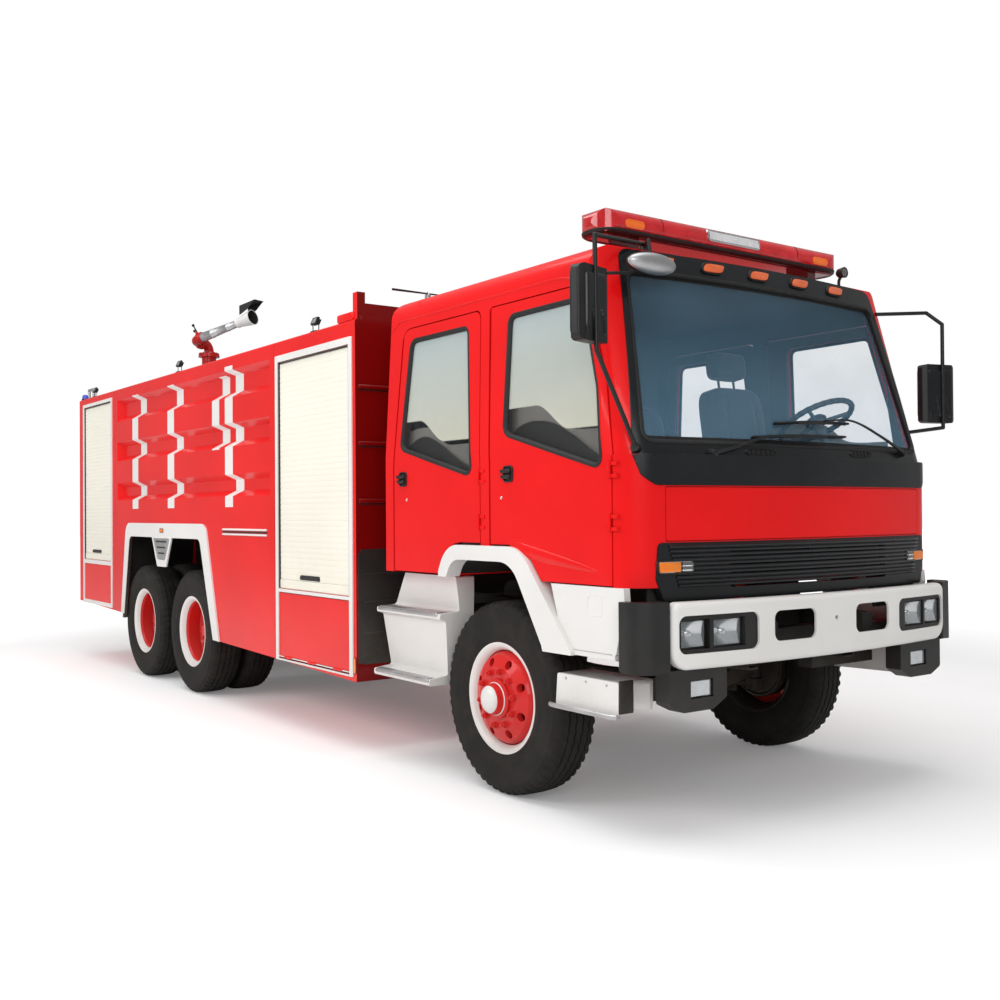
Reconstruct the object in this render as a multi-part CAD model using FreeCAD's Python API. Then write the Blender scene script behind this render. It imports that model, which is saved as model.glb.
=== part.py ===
import FreeCAD, Part
import math
import os

# Three-axle crew-cab tanker fire truck with a roof monitor.
# Stations run from the front axle: x forward, y to the truck's left, z up from the ground.
# store() shifts every piece so that the middle of the overall length is at x = 0.

os.makedirs("parts", exist_ok=True)
V = FreeCAD.Vector

# overall layout, mm
FRONT_OVERHANG = 1335.0   # bumper's bowed face ahead of the front axle
WHEELBASE = 4390.0        # front axle to first driven axle
BOGIE = 1230.0            # between the two driven axles
BOGIE_X = -WHEELBASE - BOGIE / 2.0
BODY_HALF = 1250.0        # legal width of 2.5 m
BODY_TOP = 2780.0         # parapet of the body
DECK = 2700.0             # walking deck inside the parapet

# wheels: 11R22.5 tyres
TYRE_R = 525.0
TYRE_W = 279.0
RIM_R = 300.0
RIM_W = 236.0
FRONT_TRACK_HALF = 1015.0
DUAL_OUT = 1087.0
DUAL_PITCH = 318.0
SPINDLE_R = 42.0
FIT = 0.05                # running fit of hubs, pins and pivots, radial
SEAT = 0.3                # gap between pieces that rest on each other

# cab
CAB_FRONT = 1210.0
CAB_REAR = -1110.0
CAB_HALF = 1198.0
CAB_BOTTOM = 1175.0
BELT = 1800.0
CAB_ROOF = 2874.0
CAB_BOW_R = 6890.0        # bow of the front in plan
CAB_CORNER_R = 200.0      # front corners in plan
SCREEN_LEAN = 0.285       # windscreen leans back by this much per unit of height
CAB_WALL = 55.0
GLASS_IN = 16.0           # glass below the outer skin
GLASS_T = 6.0
DOOR_GAP = 7.0
PILLAR_FRONT_X = -10.0    # rear edge of the front door
PILLAR_REAR_X = -90.0     # front edge of the rear door
SEAM_LEAN = 45.0          # door seams lean back by this much above the belt
DOOR_FRONT_X = 980.0
DOOR_REAR_X = -1020.0
DOOR_TOP = 2655.0
ARCH_GAP = 14.0
PIVOT_X = 1080.0          # tilt pivot of the cab
PIVOT_Z = 1125.0

# bumper
BUMPER_Z0 = 800.0
BUMPER_Z1 = 1115.0
BUMPER_HALF = 1075.0
BUMPER_R = 7440.0
BUMPER_T = 12.0
BUMPER_DEPTH = 50.0

# frame
RAIL_Z0 = 735.0
RAIL_Z1 = 985.0
RAIL_OUT = 430.0
RAIL_FLANGE = 80.0
RAIL_T = 10.0

# body modules
BODY_FRONT = -1400.0
SEAM_FRONT = -2622.0
SEAM_REAR = BOGIE_X - 1375.0
BODY_REAR = BOGIE_X - 2615.0
REAR_STEP = 85.0          # rear step behind the body
REAR_OVERHANG = REAR_STEP - BODY_REAR
FRONT_AXLE_X = (REAR_OVERHANG - FRONT_OVERHANG) / 2.0
SKIRT_FRONT_Z = 452.0
SKIRT_SLOPE = 0.0239      # skirt rises towards the rear
CHANNEL_HALF = 520.0      # room for the frame under the body
CHANNEL_TOP = 1000.0
SHUTTER_DEPTH = 35.0
SHUTTER_T = 22.0

# steps and bumper ends
STEP_IN = 985.0
STAIR_IN = 960.0
CAP_IN = 1196.0

# steering
KINGPIN_Y = 900.0
KINGPIN_R = 22.0
STEER_ARM = 170.0
STEER_Z = 400.0

# monitor
MONITOR_X = BODY_REAR + 570.0
MONITOR_YAW = 24.0        # parked heading, towards the left
MONITOR_PITCH = 12.0
MONITOR_BASE_TOP = 3300.0
MONITOR_PIPE_R = 52.0
MONITOR_BEND = 90.0


def box(x0, x1, y0, y1, z0, z1):
    return Part.makeBox(x1 - x0, y1 - y0, z1 - z0, V(x0, y0, z0))


def rod(p, q, r):
    p = V(*p)
    q = V(*q)
    return Part.makeCylinder(r, p.distanceToPoint(q), p, q.sub(p))


def flip(shape):
    # the same piece on the other side of the truck
    return shape.mirror(V(0, 0, 0), V(0, 1, 0))


def both(shape):
    return [shape, flip(shape)]


def fuse(shapes):
    first = shapes[0]
    if len(shapes) > 1:
        first = first.multiFuse(shapes[1:])
    return first.removeSplitter()


def outline(corners, place):
    # closed wire through corners (u, v, radius), each rounded by its own radius
    pts = [V(c[0], c[1], 0) for c in corners]
    count = len(corners)
    starts = []
    ends = []
    arcs = []
    for i in range(count):
        here = pts[i]
        back = pts[i - 1].sub(here)
        ahead = pts[(i + 1) % count].sub(here)
        back.normalize()
        ahead.normalize()
        radius = corners[i][2] if len(corners[i]) > 2 else 0.0
        if radius <= 0:
            starts.append(here)
            ends.append(here)
            arcs.append(None)
            continue
        half = back.getAngle(ahead) / 2.0
        run = radius / math.tan(half)
        middle = back.add(ahead)
        middle.normalize()
        starts.append(here.add(back * run))
        ends.append(here.add(ahead * run))
        arcs.append(here.add(middle * (radius / math.sin(half) - radius)))
    edges = []
    for i in range(count):
        after = (i + 1) % count
        if arcs[i] is not None:
            a, m, b = (place(p.x, p.y) for p in (starts[i], arcs[i], ends[i]))
            edges.append(Part.Arc(a, m, b).toShape())
        a = place(ends[i].x, ends[i].y)
        b = place(starts[after].x, starts[after].y)
        if a.distanceToPoint(b) > 1e-6:
            edges.append(Part.makeLine(a, b))
    return Part.Wire(edges)


def across(corners, y0, y1):
    # side outline (x, z) carried across the truck
    face = Part.Face(outline(corners, lambda u, v: V(u, y0, v)))
    return face.extrude(V(0, y1 - y0, 0))


def along(corners, x0, x1):
    # front outline (y, z) carried along the truck
    face = Part.Face(outline(corners, lambda u, v: V(x0, u, v)))
    return face.extrude(V(x1 - x0, 0, 0))


def upright(corners, z0, z1):
    # plan outline (x, y) carried upwards
    face = Part.Face(outline(corners, lambda u, v: V(u, v, z0)))
    return face.extrude(V(0, 0, z1 - z0))


def turned(profile, y, x, z):
    # profile (distance outboard, radius) turned about a wheel axis through (x, z)
    pts = [V(x, y + p[0], z + p[1]) for p in profile]
    pts.append(pts[0])
    face = Part.Face(Part.makePolygon(pts))
    return face.revolve(V(x, 0, z), V(0, 1, 0), 360)


def rect(u0, u1, v0, v1, radius=0.0):
    return [(u0, v0, radius), (u1, v0, radius), (u1, v1, radius), (u0, v1, radius)]


def store(name, shapes):
    made = shapes if isinstance(shapes, list) else [shapes]
    moved = []
    for shape in made:
        copy = shape.copy()
        copy.translate(V(FRONT_AXLE_X, 0, 0))
        moved.extend(copy.Solids)
    out = Part.makeCompound(moved) if len(moved) > 1 else moved[0]
    out.exportStep("parts/" + name + ".step")
    print(name, len(moved), "solids", all(s.isValid() for s in moved), round(out.Volume / 1e9, 4), "m3")


# cab form
def cab_plan(front, half, rear, z, t):
    # bowed front running tangent into rounded corners and straight sides, all taken in by t
    bow_r = CAB_BOW_R - t
    corner_r = CAB_CORNER_R - t
    half = half - t
    front = front - t
    centre_x = front - bow_r
    reach = bow_r - corner_r
    corner_x = centre_x + math.sqrt(reach ** 2 - (half - corner_r) ** 2)
    meet = V(centre_x + (corner_x - centre_x) * bow_r / reach, (half - corner_r) * bow_r / reach, z)
    turn = math.atan2(half - corner_r, corner_x - centre_x)
    mid = (turn + math.pi / 2) / 2
    bend = V(corner_x + corner_r * math.cos(mid), half - corner_r + corner_r * math.sin(mid), z)
    side = V(corner_x, half, z)

    def other(p):
        return V(p.x, -p.y, p.z)

    back = V(rear, half, z)
    edges = [Part.makeLine(back, side), Part.Arc(side, bend, meet).toShape(),
             Part.Arc(meet, V(front, 0, z), other(meet)).toShape(),
             Part.Arc(other(meet), other(bend), other(side)).toShape(),
             Part.makeLine(other(side), other(back)), Part.makeLine(other(back), back)]
    return Part.Face(Part.Wire(edges))


def cab_form(t, bottom=CAB_BOTTOM):
    # the cab as a closed form, its skin taken in by t
    low = cab_plan(CAB_FRONT, CAB_HALF, CAB_REAR - 900, bottom, t)
    low = low.extrude(V(0, 0, BELT - bottom))
    high = cab_plan(CAB_FRONT - 30, CAB_HALF, CAB_REAR - 900, BELT, t)
    rise = CAB_ROOF + 60 - BELT
    high = high.extrude(V(-SCREEN_LEAN * rise, 0, rise))
    edge = CAB_HALF + 4 - t
    roof = CAB_ROOF - t
    front_view = [(-edge, bottom - 1, 0), (edge, bottom - 1, 0), (edge, BELT, 900),
                  (CAB_HALF - 56 - t, roof - 36, 120 - t / 2), (620, roof, 3000),
                  (-620, roof, 3000), (56 - CAB_HALF + t, roof - 36, 120 - t / 2), (-edge, BELT, 900)]
    side_view = [(CAB_REAR + t, bottom - 1, 0), (1500, bottom - 1, 0), (1500, 2250 - t, 0),
                 (900 - t, roof - 50, 0), (640 - t, roof + 2, 300), (-900, roof + 2, 450),
                 (CAB_REAR + t, roof - 40, 80)]
    form = low.fuse(high)
    form = form.common(along(front_view, CAB_REAR - 5, 1500))
    return form.common(across(side_view, -1400, 1400)).removeSplitter()


# wheel arch of the cab, seen from the side
ARCH_OUT = [(-488, 900, 0), (-480, 1200, 60), (-400, 1352, 190), (290, 1352, 230), (700, 850, 0),
            (700, 700, 0),
            (-488, 700, 0)]
ARCH_IN = [(-420, 690, 0), (-410, 1150, 60), (-345, 1270, 120), (215, 1270, 190), (470, 860, 0),
           (520, 690, 0)]


def arch_offset(gap):
    return [(-488 - gap, 900, 0), (-480 - gap, 1200, 60), (-400 - gap * 0.6, 1352 + gap, 190),
            (290 + gap * 0.6, 1352 + gap, 230), (700 + gap, 850, 0), (700 + gap, 700, 0),
            (-488 - gap, 700, 0)]


skin = cab_form(0)
inside = cab_form(CAB_WALL, CAB_BOTTOM + CAB_WALL)
wall = skin.cut(cab_form(CAB_WALL, CAB_BOTTOM - 10))

# doors: side outlines
FRONT_DOOR = [(PILLAR_FRONT_X, CAB_BOTTOM, 0), (DOOR_FRONT_X, CAB_BOTTOM, 0), (DOOR_FRONT_X, BELT, 0),
              (DOOR_FRONT_X - 60, 2150, 0), (DOOR_FRONT_X - 210, DOOR_TOP, 40),
              (PILLAR_FRONT_X - SEAM_LEAN, DOOR_TOP, 30), (PILLAR_FRONT_X, BELT, 0)]
REAR_DOOR = [(DOOR_REAR_X, CAB_BOTTOM, 0), (PILLAR_REAR_X, CAB_BOTTOM, 0), (PILLAR_REAR_X, BELT, 0),
             (PILLAR_REAR_X - SEAM_LEAN, DOOR_TOP, 50), (DOOR_REAR_X + 60, DOOR_TOP, 90),
             (DOOR_REAR_X, BELT, 0)]
FRONT_PANE = [(115, 1945, 70), (915, 1733, 45), (868, 2130, 60), (735, 2590, 60), (125, 2585, 50)]
REAR_PANE = [(-940, 1915, 60), (-175, 1730, 45), (-255, 2580, 50), (-870, 2580, 60)]


def door(corners, pane, arch_gap):
    # one door of the left side: its share of the cab wall, less the arch and the window
    x0 = min(c[0] for c in corners)
    x1 = max(c[0] for c in corners)
    slab = across(corners, 900, 1300).common(wall)
    slab = slab.cut(across(arch_offset(arch_gap), 900, 1300))
    slab = slab.cut(across(pane, 900, 1300))
    low = box(x0 - 100, x1 + 100, 900, 1300, CAB_BOTTOM - 5, CAB_BOTTOM + DOOR_GAP)
    return slab.cut(low)


def shrink(corners, front, rear, top):
    # door outline taken in from its opening by the gaps
    xs = [c[0] for c in corners]
    middle = (min(xs) + max(xs)) / 2.0
    out = []
    for c in corners:
        x = c[0] - front if c[0] > middle else c[0] + rear
        z = c[1] - top if c[1] > BELT else c[1]
        out.append((x, z, c[2]))
    return out


def pane_of(pane, form_out, form_in):
    return across(pane, 900, 1300).common(form_out.cut(form_in))


glass_out = cab_form(GLASS_IN)
glass_in = cab_form(GLASS_IN + GLASS_T)

front_door = door(shrink(FRONT_DOOR, DOOR_GAP, 0, DOOR_GAP), FRONT_PANE, DOOR_GAP + 2)
rear_door = door(shrink(REAR_DOOR, DOOR_GAP, 0, DOOR_GAP), REAR_PANE, ARCH_GAP)


def rear_edge_cut(low_x, top_x):
    # sloping cut along the rear edge of a door, from sill to roof, wider inwards
    out = []
    for z, x in ((CAB_BOTTOM - 20, low_x), (BELT, low_x), (DOOR_TOP + 20, top_x)):
        plan = [V(x - 200, 1000, z), V(x + 22, 1000, z), V(x + 2, 1260, z), V(x - 200, 1260, z)]
        plan.append(plan[0])
        out.append(Part.makePolygon(plan))
    lower = Part.makeLoft(out[:2], True, True)
    upper = Part.makeLoft(out[1:], True, True)
    return lower.fuse(upper)


front_door = front_door.cut(rear_edge_cut(PILLAR_FRONT_X + DOOR_GAP,
                                          PILLAR_FRONT_X - SEAM_LEAN + DOOR_GAP))
rear_door = rear_door.cut(rear_edge_cut(DOOR_REAR_X + DOOR_GAP, DOOR_REAR_X + 60 + DOOR_GAP))
front_glass = pane_of(FRONT_PANE, glass_out, glass_in)
rear_glass = pane_of(REAR_PANE, glass_out, glass_in)


# strap hinges outside the skin: the door carries the middle knuckle, the cab the outer two and the pin
HINGE_R = 8.0
HINGE_PIN_R = 4.0
HINGE_BACK = 12.0         # hinge line behind the front edge of its door
HINGE_Y = CAB_HALF + 6.0
HINGE_Z = (1480.0, 1730.0)
HINGE_H = 40.0
hinge_lines = (DOOR_FRONT_X - HINGE_BACK, PILLAR_REAR_X - HINGE_BACK)


def hinge_eye(x, z0, z1):
    return rod((x, HINGE_Y, z0), (x, HINGE_Y, z1), HINGE_R)


def door_hinges(x):
    parts = []
    for z in HINGE_Z:
        parts.append(hinge_eye(x, z - HINGE_H / 2, z + HINGE_H / 2))
        parts.append(box(x - 45, x, CAB_HALF - 4, CAB_HALF + 4, z - HINGE_H / 2, z + HINGE_H / 2))
    return parts


def bore(shape, x):
    # pin hole, and room round the cab's eyes above and below the door's
    for z in HINGE_Z:
        shape = shape.cut(rod((x, HINGE_Y, z - 60), (x, HINGE_Y, z + 60), HINGE_PIN_R + FIT))
        for end in (-1, 1):
            a = z + end * (HINGE_H / 2 + 0.2)
            b = z + end * (HINGE_H / 2 + 24)
            shape = shape.cut(rod((x, HINGE_Y, min(a, b)), (x, HINGE_Y, max(a, b)), HINGE_R + 5))
    return shape


def cab_hinges(x):
    # upper and lower eyes, their strap on the cab's skin, and the pin through all three
    parts = []
    for z in HINGE_Z:
        for end in (-1, 1):
            a = z + end * (HINGE_H / 2 + 0.4)
            b = z + end * (HINGE_H / 2 + 18)
            low = min(a, b)
            high = max(a, b)
            parts.append(hinge_eye(x, low, high))
            parts.append(box(x, x + 50, CAB_HALF + 1.5, CAB_HALF + 5, low, high))
            parts.append(box(x + 26, x + 50, CAB_HALF - 30, CAB_HALF + 5, low, high))
        parts.append(rod((x, HINGE_Y, z - HINGE_H / 2 - 18), (x, HINGE_Y, z + HINGE_H / 2 + 18),
                         HINGE_PIN_R))
    return parts


front_door = bore(fuse([front_door] + door_hinges(hinge_lines[0])), hinge_lines[0])
rear_door = bore(fuse([rear_door] + door_hinges(hinge_lines[1])), hinge_lines[1])

for side, turn in (("left", False), ("right", True)):
    for name, shape in (("front_door_", front_door), ("rear_door_", rear_door),
                        ("front_door_glass_", front_glass), ("rear_door_glass_", rear_glass)):
        store(name + side, flip(shape) if turn else shape)

# cab shell
SCREEN = [(-1100, 1850, 60), (1100, 1850, 60), (985, 2735, 70), (-985, 2735, 70)]
HATCH = [(-1005, 1390, 12), (1005, 1390, 12), (1005, 1650, 12), (-1005, 1650, 12)]
GRILLE = [(-1020, 1112, 20), (1020, 1112, 20), (1062, 1215, 20), (1050, 1385, 25), (-1050, 1385, 25),
          (-1062, 1215, 20)]
GRILLE_T = 40.0
HATCH_T = 20.0
TUNNEL_HALF = 440.0
TUNNEL_TOP = 1540.0
TUNNEL_WALL = 40.0

tunnel = box(-760, 1300, -TUNNEL_HALF, TUNNEL_HALF, CAB_BOTTOM, TUNNEL_TOP)
bay = box(-760 + TUNNEL_WALL, CAB_FRONT - 80, -TUNNEL_HALF + TUNNEL_WALL, TUNNEL_HALF - TUNNEL_WALL,
          CAB_BOTTOM - 10, TUNNEL_TOP - TUNNEL_WALL)
house = across(ARCH_OUT, 590, 1300)
house_void = across(ARCH_IN, 620, 1300)
room = inside.cut(tunnel).cut(house).cut(flip(house))
shell = skin.cut(room).cut(bay)
for well in both(house_void):
    shell = shell.cut(well)
for seat_for_flare in both(across(ARCH_OUT, 1130, 1300)):
    shell = shell.cut(seat_for_flare)
door_lines = [FRONT_DOOR, REAR_DOOR]
sill_form = cab_form(CAB_WALL + DOOR_GAP - 1, CAB_BOTTOM - 20)
for line in door_lines:
    for opening in both(across(line, 1000, 1300).cut(sill_form)):
        shell = shell.cut(opening)
shell = shell.cut(along(SCREEN, 600, 1500))
shell = shell.cut(along(HATCH, 1000, 1500).cut(cab_form(HATCH_T)))
shell = shell.cut(along(GRILLE, 1000, 1500).cut(cab_form(GRILLE_T - 6, CAB_BOTTOM - 10)))
hinge_arm = across([(PIVOT_X - 60, CAB_BOTTOM + 50, 0), (PIVOT_X - 42, PIVOT_Z - 42, 42),
                    (PIVOT_X + 42, PIVOT_Z - 42, 42),
                    (PIVOT_X + 42, CAB_BOTTOM + 50, 0)], 440, 470)
hinge_arm = hinge_arm.cut(rod((PIVOT_X, 430, PIVOT_Z), (PIVOT_X, 480, PIVOT_Z), KINGPIN_R + FIT))
extras = both(hinge_arm)
for x in hinge_lines:
    for piece in cab_hinges(x):
        extras.extend(both(piece))
shell = fuse([shell] + extras)
store("cab_shell", shell)

windscreen = along(SCREEN, 600, 1500).common(glass_out.cut(glass_in))
store("windscreen", windscreen)

hatch = along([(c[0] * 0.996, c[1] + (4 if c[1] < 1500 else -4), c[2]) for c in HATCH], 1000, 1500)
store("front_hatch", hatch.common(skin.cut(cab_form(HATCH_T - SEAT))))

# black front trim
lower_skin = cab_form(-6, 1110)
grille = along(GRILLE, 1000, 1500).common(lower_skin.cut(cab_form(GRILLE_T - 6 - SEAT, 1109)))
for i in range(4):
    z = 1165 + i * 50
    grille = grille.cut(box(900, 1500, -620, 620, z, z + 26))
clear_skin = cab_form(-SEAT)
cowl_skin = lower_skin.cut(clear_skin)
cowl_line = [(-1120, 1700, 40), (-1060, 1655, 60), (1060, 1655, 60), (1120, 1700, 40), (1150, 1798, 0),
             (-1150, 1798, 0)]
cowl = along(cowl_line, 900, 1500).common(cowl_skin)
surround_line = [(-1135, BELT + 1, 0), (1135, BELT + 1, 0), (1000, 2832, 60), (-1000, 2832, 60)]
surround = along(surround_line, 640, 1500).common(cowl_skin)
sight_line = [(-1086, 1862, 60), (1086, 1862, 60), (970, 2722, 90), (-970, 2722, 90)]
surround = surround.cut(along(sight_line, 600, 1500))
store("front_trim", [grille, cowl, surround])

# flares with the corner step panel
FLARE_OUT = 1224.0
FLARE_IN = 1130.0
flare = across(ARCH_OUT, FLARE_IN, FLARE_OUT).cut(across(ARCH_IN, 1000, 1300))
flare = flare.cut(box(-700, 0, 1000, 1300, 600, 1168))
flare = flare.cut(box(0, 900, 1000, 1300, 600, 832))
corner = across([(520, CAB_BOTTOM, 0), (1056, CAB_BOTTOM, 0), (1062, 1110, 20), (1000, 858, 15),
                 (620, 858, 0)],
                1160, CAB_HALF)
corner = corner.cut(across(ARCH_IN, 1000, 1300))
ledge = box(630, 998, CAB_HALF - 188, CAB_HALF + 4, 836, 858)
store("wheel_flares", both(fuse([flare, corner, ledge])))

# inside of the cab
dash = across([(800, 1500, 0), (1030, 1500, 0), (1030, 1838, 30), (900, 1800, 60), (800, 1640, 40)],
              -1035, 1035)
binnacle = across([(840, 1780, 0), (1000, 1780, 0), (985, 1900, 30), (850, 1860, 25)], 330, 770)
dash = fuse([dash, binnacle]).cut(tunnel)
column_top = V(790, 550, 2040)
column_dir = V(-0.5, 0, 0.866)
column = Part.makeCylinder(32, 332 - SEAT, column_top.sub(column_dir * 360), column_dir)
dash = fuse([dash, column])
store("dashboard", dash)

SEAT_SIDE = [(-130, 1300, 30), (330, 1300, 30), (350, 1640, 20), (420, 1650, 35), (430, 1770, 50),
             (60, 1790, 40),
             (-40, 2330, 40), (-80, 2560, 32), (-160, 2560, 32), (-200, 2330, 50), (-150, 1700, 60)]
FLOOR_IN = CAB_BOTTOM + CAB_WALL
front_seat = across(SEAT_SIDE, 470, 1010)
plinth = box(-60, 280, 560, 920, CAB_BOTTOM + CAB_WALL, 1640)
front_seat = front_seat.cut(box(-400, 500, 440, 1060, 1200, 1620))
seat_shift = V(110, -45, 0)
one = fuse([front_seat, plinth])
one.translate(seat_shift)
seats = both(one.cut(house).cut(tunnel))
BENCH_SIDE = [(-1045, 1230, 0), (-560, 1230, 0), (-540, 1560, 20), (-500, 1580, 30), (-500, 1700, 50),
              (-880, 1730, 40),
              (-960, 2300, 30), (-1045, 2300, 30)]
bench = across(BENCH_SIDE, -1060, 1060).cut(tunnel)
seats.append(bench)
store("seats", seats)

wheel_axis = column_dir
rim_torus = Part.makeTorus(215, 15, column_top, wheel_axis)
hub = Part.makeCylinder(48, 34, column_top.sub(wheel_axis * 28), wheel_axis)
spokes = []
for angle in (0, 120, 240):
    a = math.radians(angle + 90)
    side = V(0, 1, 0) * math.cos(a) + wheel_axis.cross(V(0, 1, 0)) * math.sin(a)
    inner = column_top.sub(wheel_axis * 8).add(side * 30)
    outer = column_top.add(side * 212)
    spokes.append(Part.makeCylinder(11, inner.distanceToPoint(outer), inner, outer.sub(inner)))
store("steering_wheel", fuse([rim_torus, hub] + spokes))

# mirrors and light bar
def tube(points, r):
    pieces = []
    for i in range(len(points) - 1):
        pieces.append(rod(points[i], points[i + 1], r))
    for p in points[1:-1]:
        pieces.append(Part.makeSphere(r, V(*p)))
    return fuse(pieces)


ARM_R = 11.0
MIRROR_Y = 1376.0         # middle of each head
MIRROR_W = 240.0
MIRROR_TURN = 15.0        # heads turned in towards the driver


def mirror_head(x, low, high):
    # rounded housing with its back swelling forward and its foot drawn in
    half = MIRROR_W / 2
    head = upright([(x - 30, MIRROR_Y - half, 14), (x + 16, MIRROR_Y - half, 14),
                    (x + 34, MIRROR_Y - half + 30, 26),
                    (x + 34, MIRROR_Y + half - 30, 26), (x + 16, MIRROR_Y + half, 14),
                    (x - 30, MIRROR_Y + half, 14)],
                   low, high)
    front_view = [(MIRROR_Y - half - 1, low, 40), (MIRROR_Y + half + 1, low, 40),
                  (MIRROR_Y + half + 1, high, 34),
                  (MIRROR_Y - half - 1, high, 34)]
    head = head.common(along(front_view, x - 40, x + 50))
    head.rotate(V(x, MIRROR_Y, low), V(0, 0, 1), -MIRROR_TURN)
    return head


def kerb_side_mirror():
    # arm from the roof corner out and down in front of the head to the cowl, with a strut to the header
    low = 2305
    high = 2651
    arm = tube([(800, 800, 2878), (1076, MIRROR_Y, 2790), (1082, MIRROR_Y, low - 40),
                (1075, 1130, 1830)], ARM_R)
    strut = rod((1045, MIRROR_Y - 90, high - 20), (880, 985, 2700), ARM_R - 3)
    feet = [rod((800, 800, 2840), (800, 800, 2888), 26), rod((1062, 1110, 1824), (1076, 1140, 1834), 22)]
    clamps = [rod((1056, MIRROR_Y, z), (1084, MIRROR_Y, z), 13) for z in (low + 60, high - 60)]
    return fuse([arm, strut, mirror_head(1040, low, high)] + feet + clamps)


def driver_side_mirror():
    # arm out of the pillar above the window, forward of the door's hinges, down past the head to the corner
    low = 2050
    high = 2400
    x = 1030
    arm = tube([(850, 1040, 2700), (1000, 1330, 2715), (x + 45, MIRROR_Y, 2640),
                (x + 45, MIRROR_Y, low - 30), (1000, 1112, low - 65)], ARM_R)
    clamps = [rod((x + 16, MIRROR_Y, z), (x + 46, MIRROR_Y, z), 13) for z in (low + 60, high - 60)]
    return fuse([arm, mirror_head(x, low, high)] + clamps)


kerb = Part.makeSphere(60, V(0, 0, 0))
stretch = FreeCAD.Matrix(0.9, 0, 0, 1000, 0, 2.6, 0, -950, 0, 0, 0.9, 2725, 0, 0, 0, 1)
kerb_shape = kerb.transformGeometry(stretch)
kerb_arm = tube([(800, -800, 2872), (960, -930, 2850), (1000, -950, 2740)], 9)
right_set = fuse([flip(kerb_side_mirror()), kerb_shape, kerb_arm])
mirrors = []
for shape in (driver_side_mirror(), right_set):
    clear = shape.cut(skin).cut(surround)
    mirrors.append(max(clear.Solids, key=lambda s: s.Volume))
store("mirrors", mirrors)

BAR_HALF = 955.0
BAR_X = (425.0, 675.0)
BAR_Z = (2957.0, 3087.0)
bar = across(rect(*BAR_X, *BAR_Z, 58), -BAR_HALF, BAR_HALF)
bar = bar.common(upright(rect(*BAR_X, -BAR_HALF, BAR_HALF, 112), BAR_Z[0] - 5, BAR_Z[1] + 5))
bar = bar.common(along(rect(-BAR_HALF, BAR_HALF, *BAR_Z, 58), BAR_X[0] - 5, BAR_X[1] + 5))
feet = []
for y in (-720, 720):
    feet.append(box(BAR_X[0] + 50, BAR_X[1] - 40, y - 35, y + 35, 2800, BAR_Z[0] + 15))
store("light_bar", fuse([bar] + feet).cut(skin))

# bumper
def bumper_band(inset_front, inset_rear, half, z0, z1):
    # slice between two arcs of the bumper's bow
    centre_x = FRONT_OVERHANG - BUMPER_R
    r_out = BUMPER_R - inset_front
    r_in = BUMPER_R - inset_rear
    def at(r, y):
        return V(centre_x + math.sqrt(r * r - y * y), y, z0)
    edges = [Part.Arc(at(r_out, -half), at(r_out, 0), at(r_out, half)).toShape()]
    edges.append(Part.makeLine(at(r_out, half), at(r_in, half)))
    edges.append(Part.Arc(at(r_in, half), at(r_in, 0), at(r_in, -half)).toShape())
    edges.append(Part.makeLine(at(r_in, -half), at(r_out, -half)))
    return Part.Face(Part.Wire(edges)).extrude(V(0, 0, z1 - z0))


bumper = along([(-BUMPER_HALF, BUMPER_Z0, 95), (BUMPER_HALF, BUMPER_Z0, 95),
                (BUMPER_HALF, BUMPER_Z1, 45), (-BUMPER_HALF, BUMPER_Z1, 45)], 1100, 1400)
bumper = bumper.common(bumper_band(0, BUMPER_DEPTH, BUMPER_HALF + 40, BUMPER_Z0 - 40, BUMPER_Z1 + 40))
face_edges = []
for edge in bumper.Edges:
    span = edge.LastParameter - edge.FirstParameter
    off_face = 0.0
    for i in range(5):
        point = edge.valueAt(edge.FirstParameter + span * i / 4.0)
        reach = math.hypot(point.x - FRONT_OVERHANG + BUMPER_R, point.y)
        off_face = max(off_face, abs(reach - BUMPER_R))
    if off_face < 0.05:
        face_edges.append(edge)
bumper = bumper.makeFillet(28, face_edges)
hollow = bumper_band(BUMPER_T, BUMPER_DEPTH + 30, BUMPER_HALF + 8, BUMPER_Z0 - 30, BUMPER_Z1 + 30)
hollow_end = BUMPER_HALF - BUMPER_T
hollow_line = rect(-hollow_end, hollow_end, BUMPER_Z0 + 30, BUMPER_Z1 - 30, 70)
bumper = bumper.cut(hollow.common(along(hollow_line, 1100, 1400)))
LAMP_OPEN = rect(560, 1046, 876, 1052, 42)
TOW_OPEN = rect(160, 458, 900, 1048, 40)
TOW_EYE_Z = 990.0
for line in (LAMP_OPEN, TOW_OPEN):
    for cut in both(along(line, 1100, 1400)):
        bumper = bumper.cut(cut)
bumper = bumper.cut(rod((1250, 0, TOW_EYE_Z), (1400, 0, TOW_EYE_Z), 12))
store("front_bumper", bumper)

cap = upright([(1150, 1078, 0), (1243, 1078, 10), (1224, 1180, 110), (1160, 1252, 80), (1066, 1252, 20),
               (1066, CAP_IN, 10), (1116, CAP_IN, 10), (1150, 1150, 30)], 790, 1118)
cap = cap.common(across([(1060, 790, 60), (1250, 790, 30), (1250, 1118, 14), (1060, 1118, 14)], 1000,
                        1300))
bezel_line = rect(548, 1058, 862, 1066, 46)
bezel = along(bezel_line, 1100, 1400).common(bumper_band(BUMPER_T + 0.3, BUMPER_T + 42, BUMPER_HALF - 9,
                                                         800, 1115))
LAMPS = [(640, 838, 1236, 1270), (858, 1028, 1212, 1246)]
LAMP_Z = (895, 1032)
lamps = []
for y0, y1, x0, x1 in LAMPS:
    lamps.extend(both(across(rect(x0, x1, *LAMP_Z, 6), y0, y1)))
    bezel = bezel.cut(box(x0 - 60, x1 + 80, y0, y1, *LAMP_Z))
POD_LAMP = (790.0, 940.0, 660.0, 745.0)
POD_FRONT = 1228.0
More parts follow.
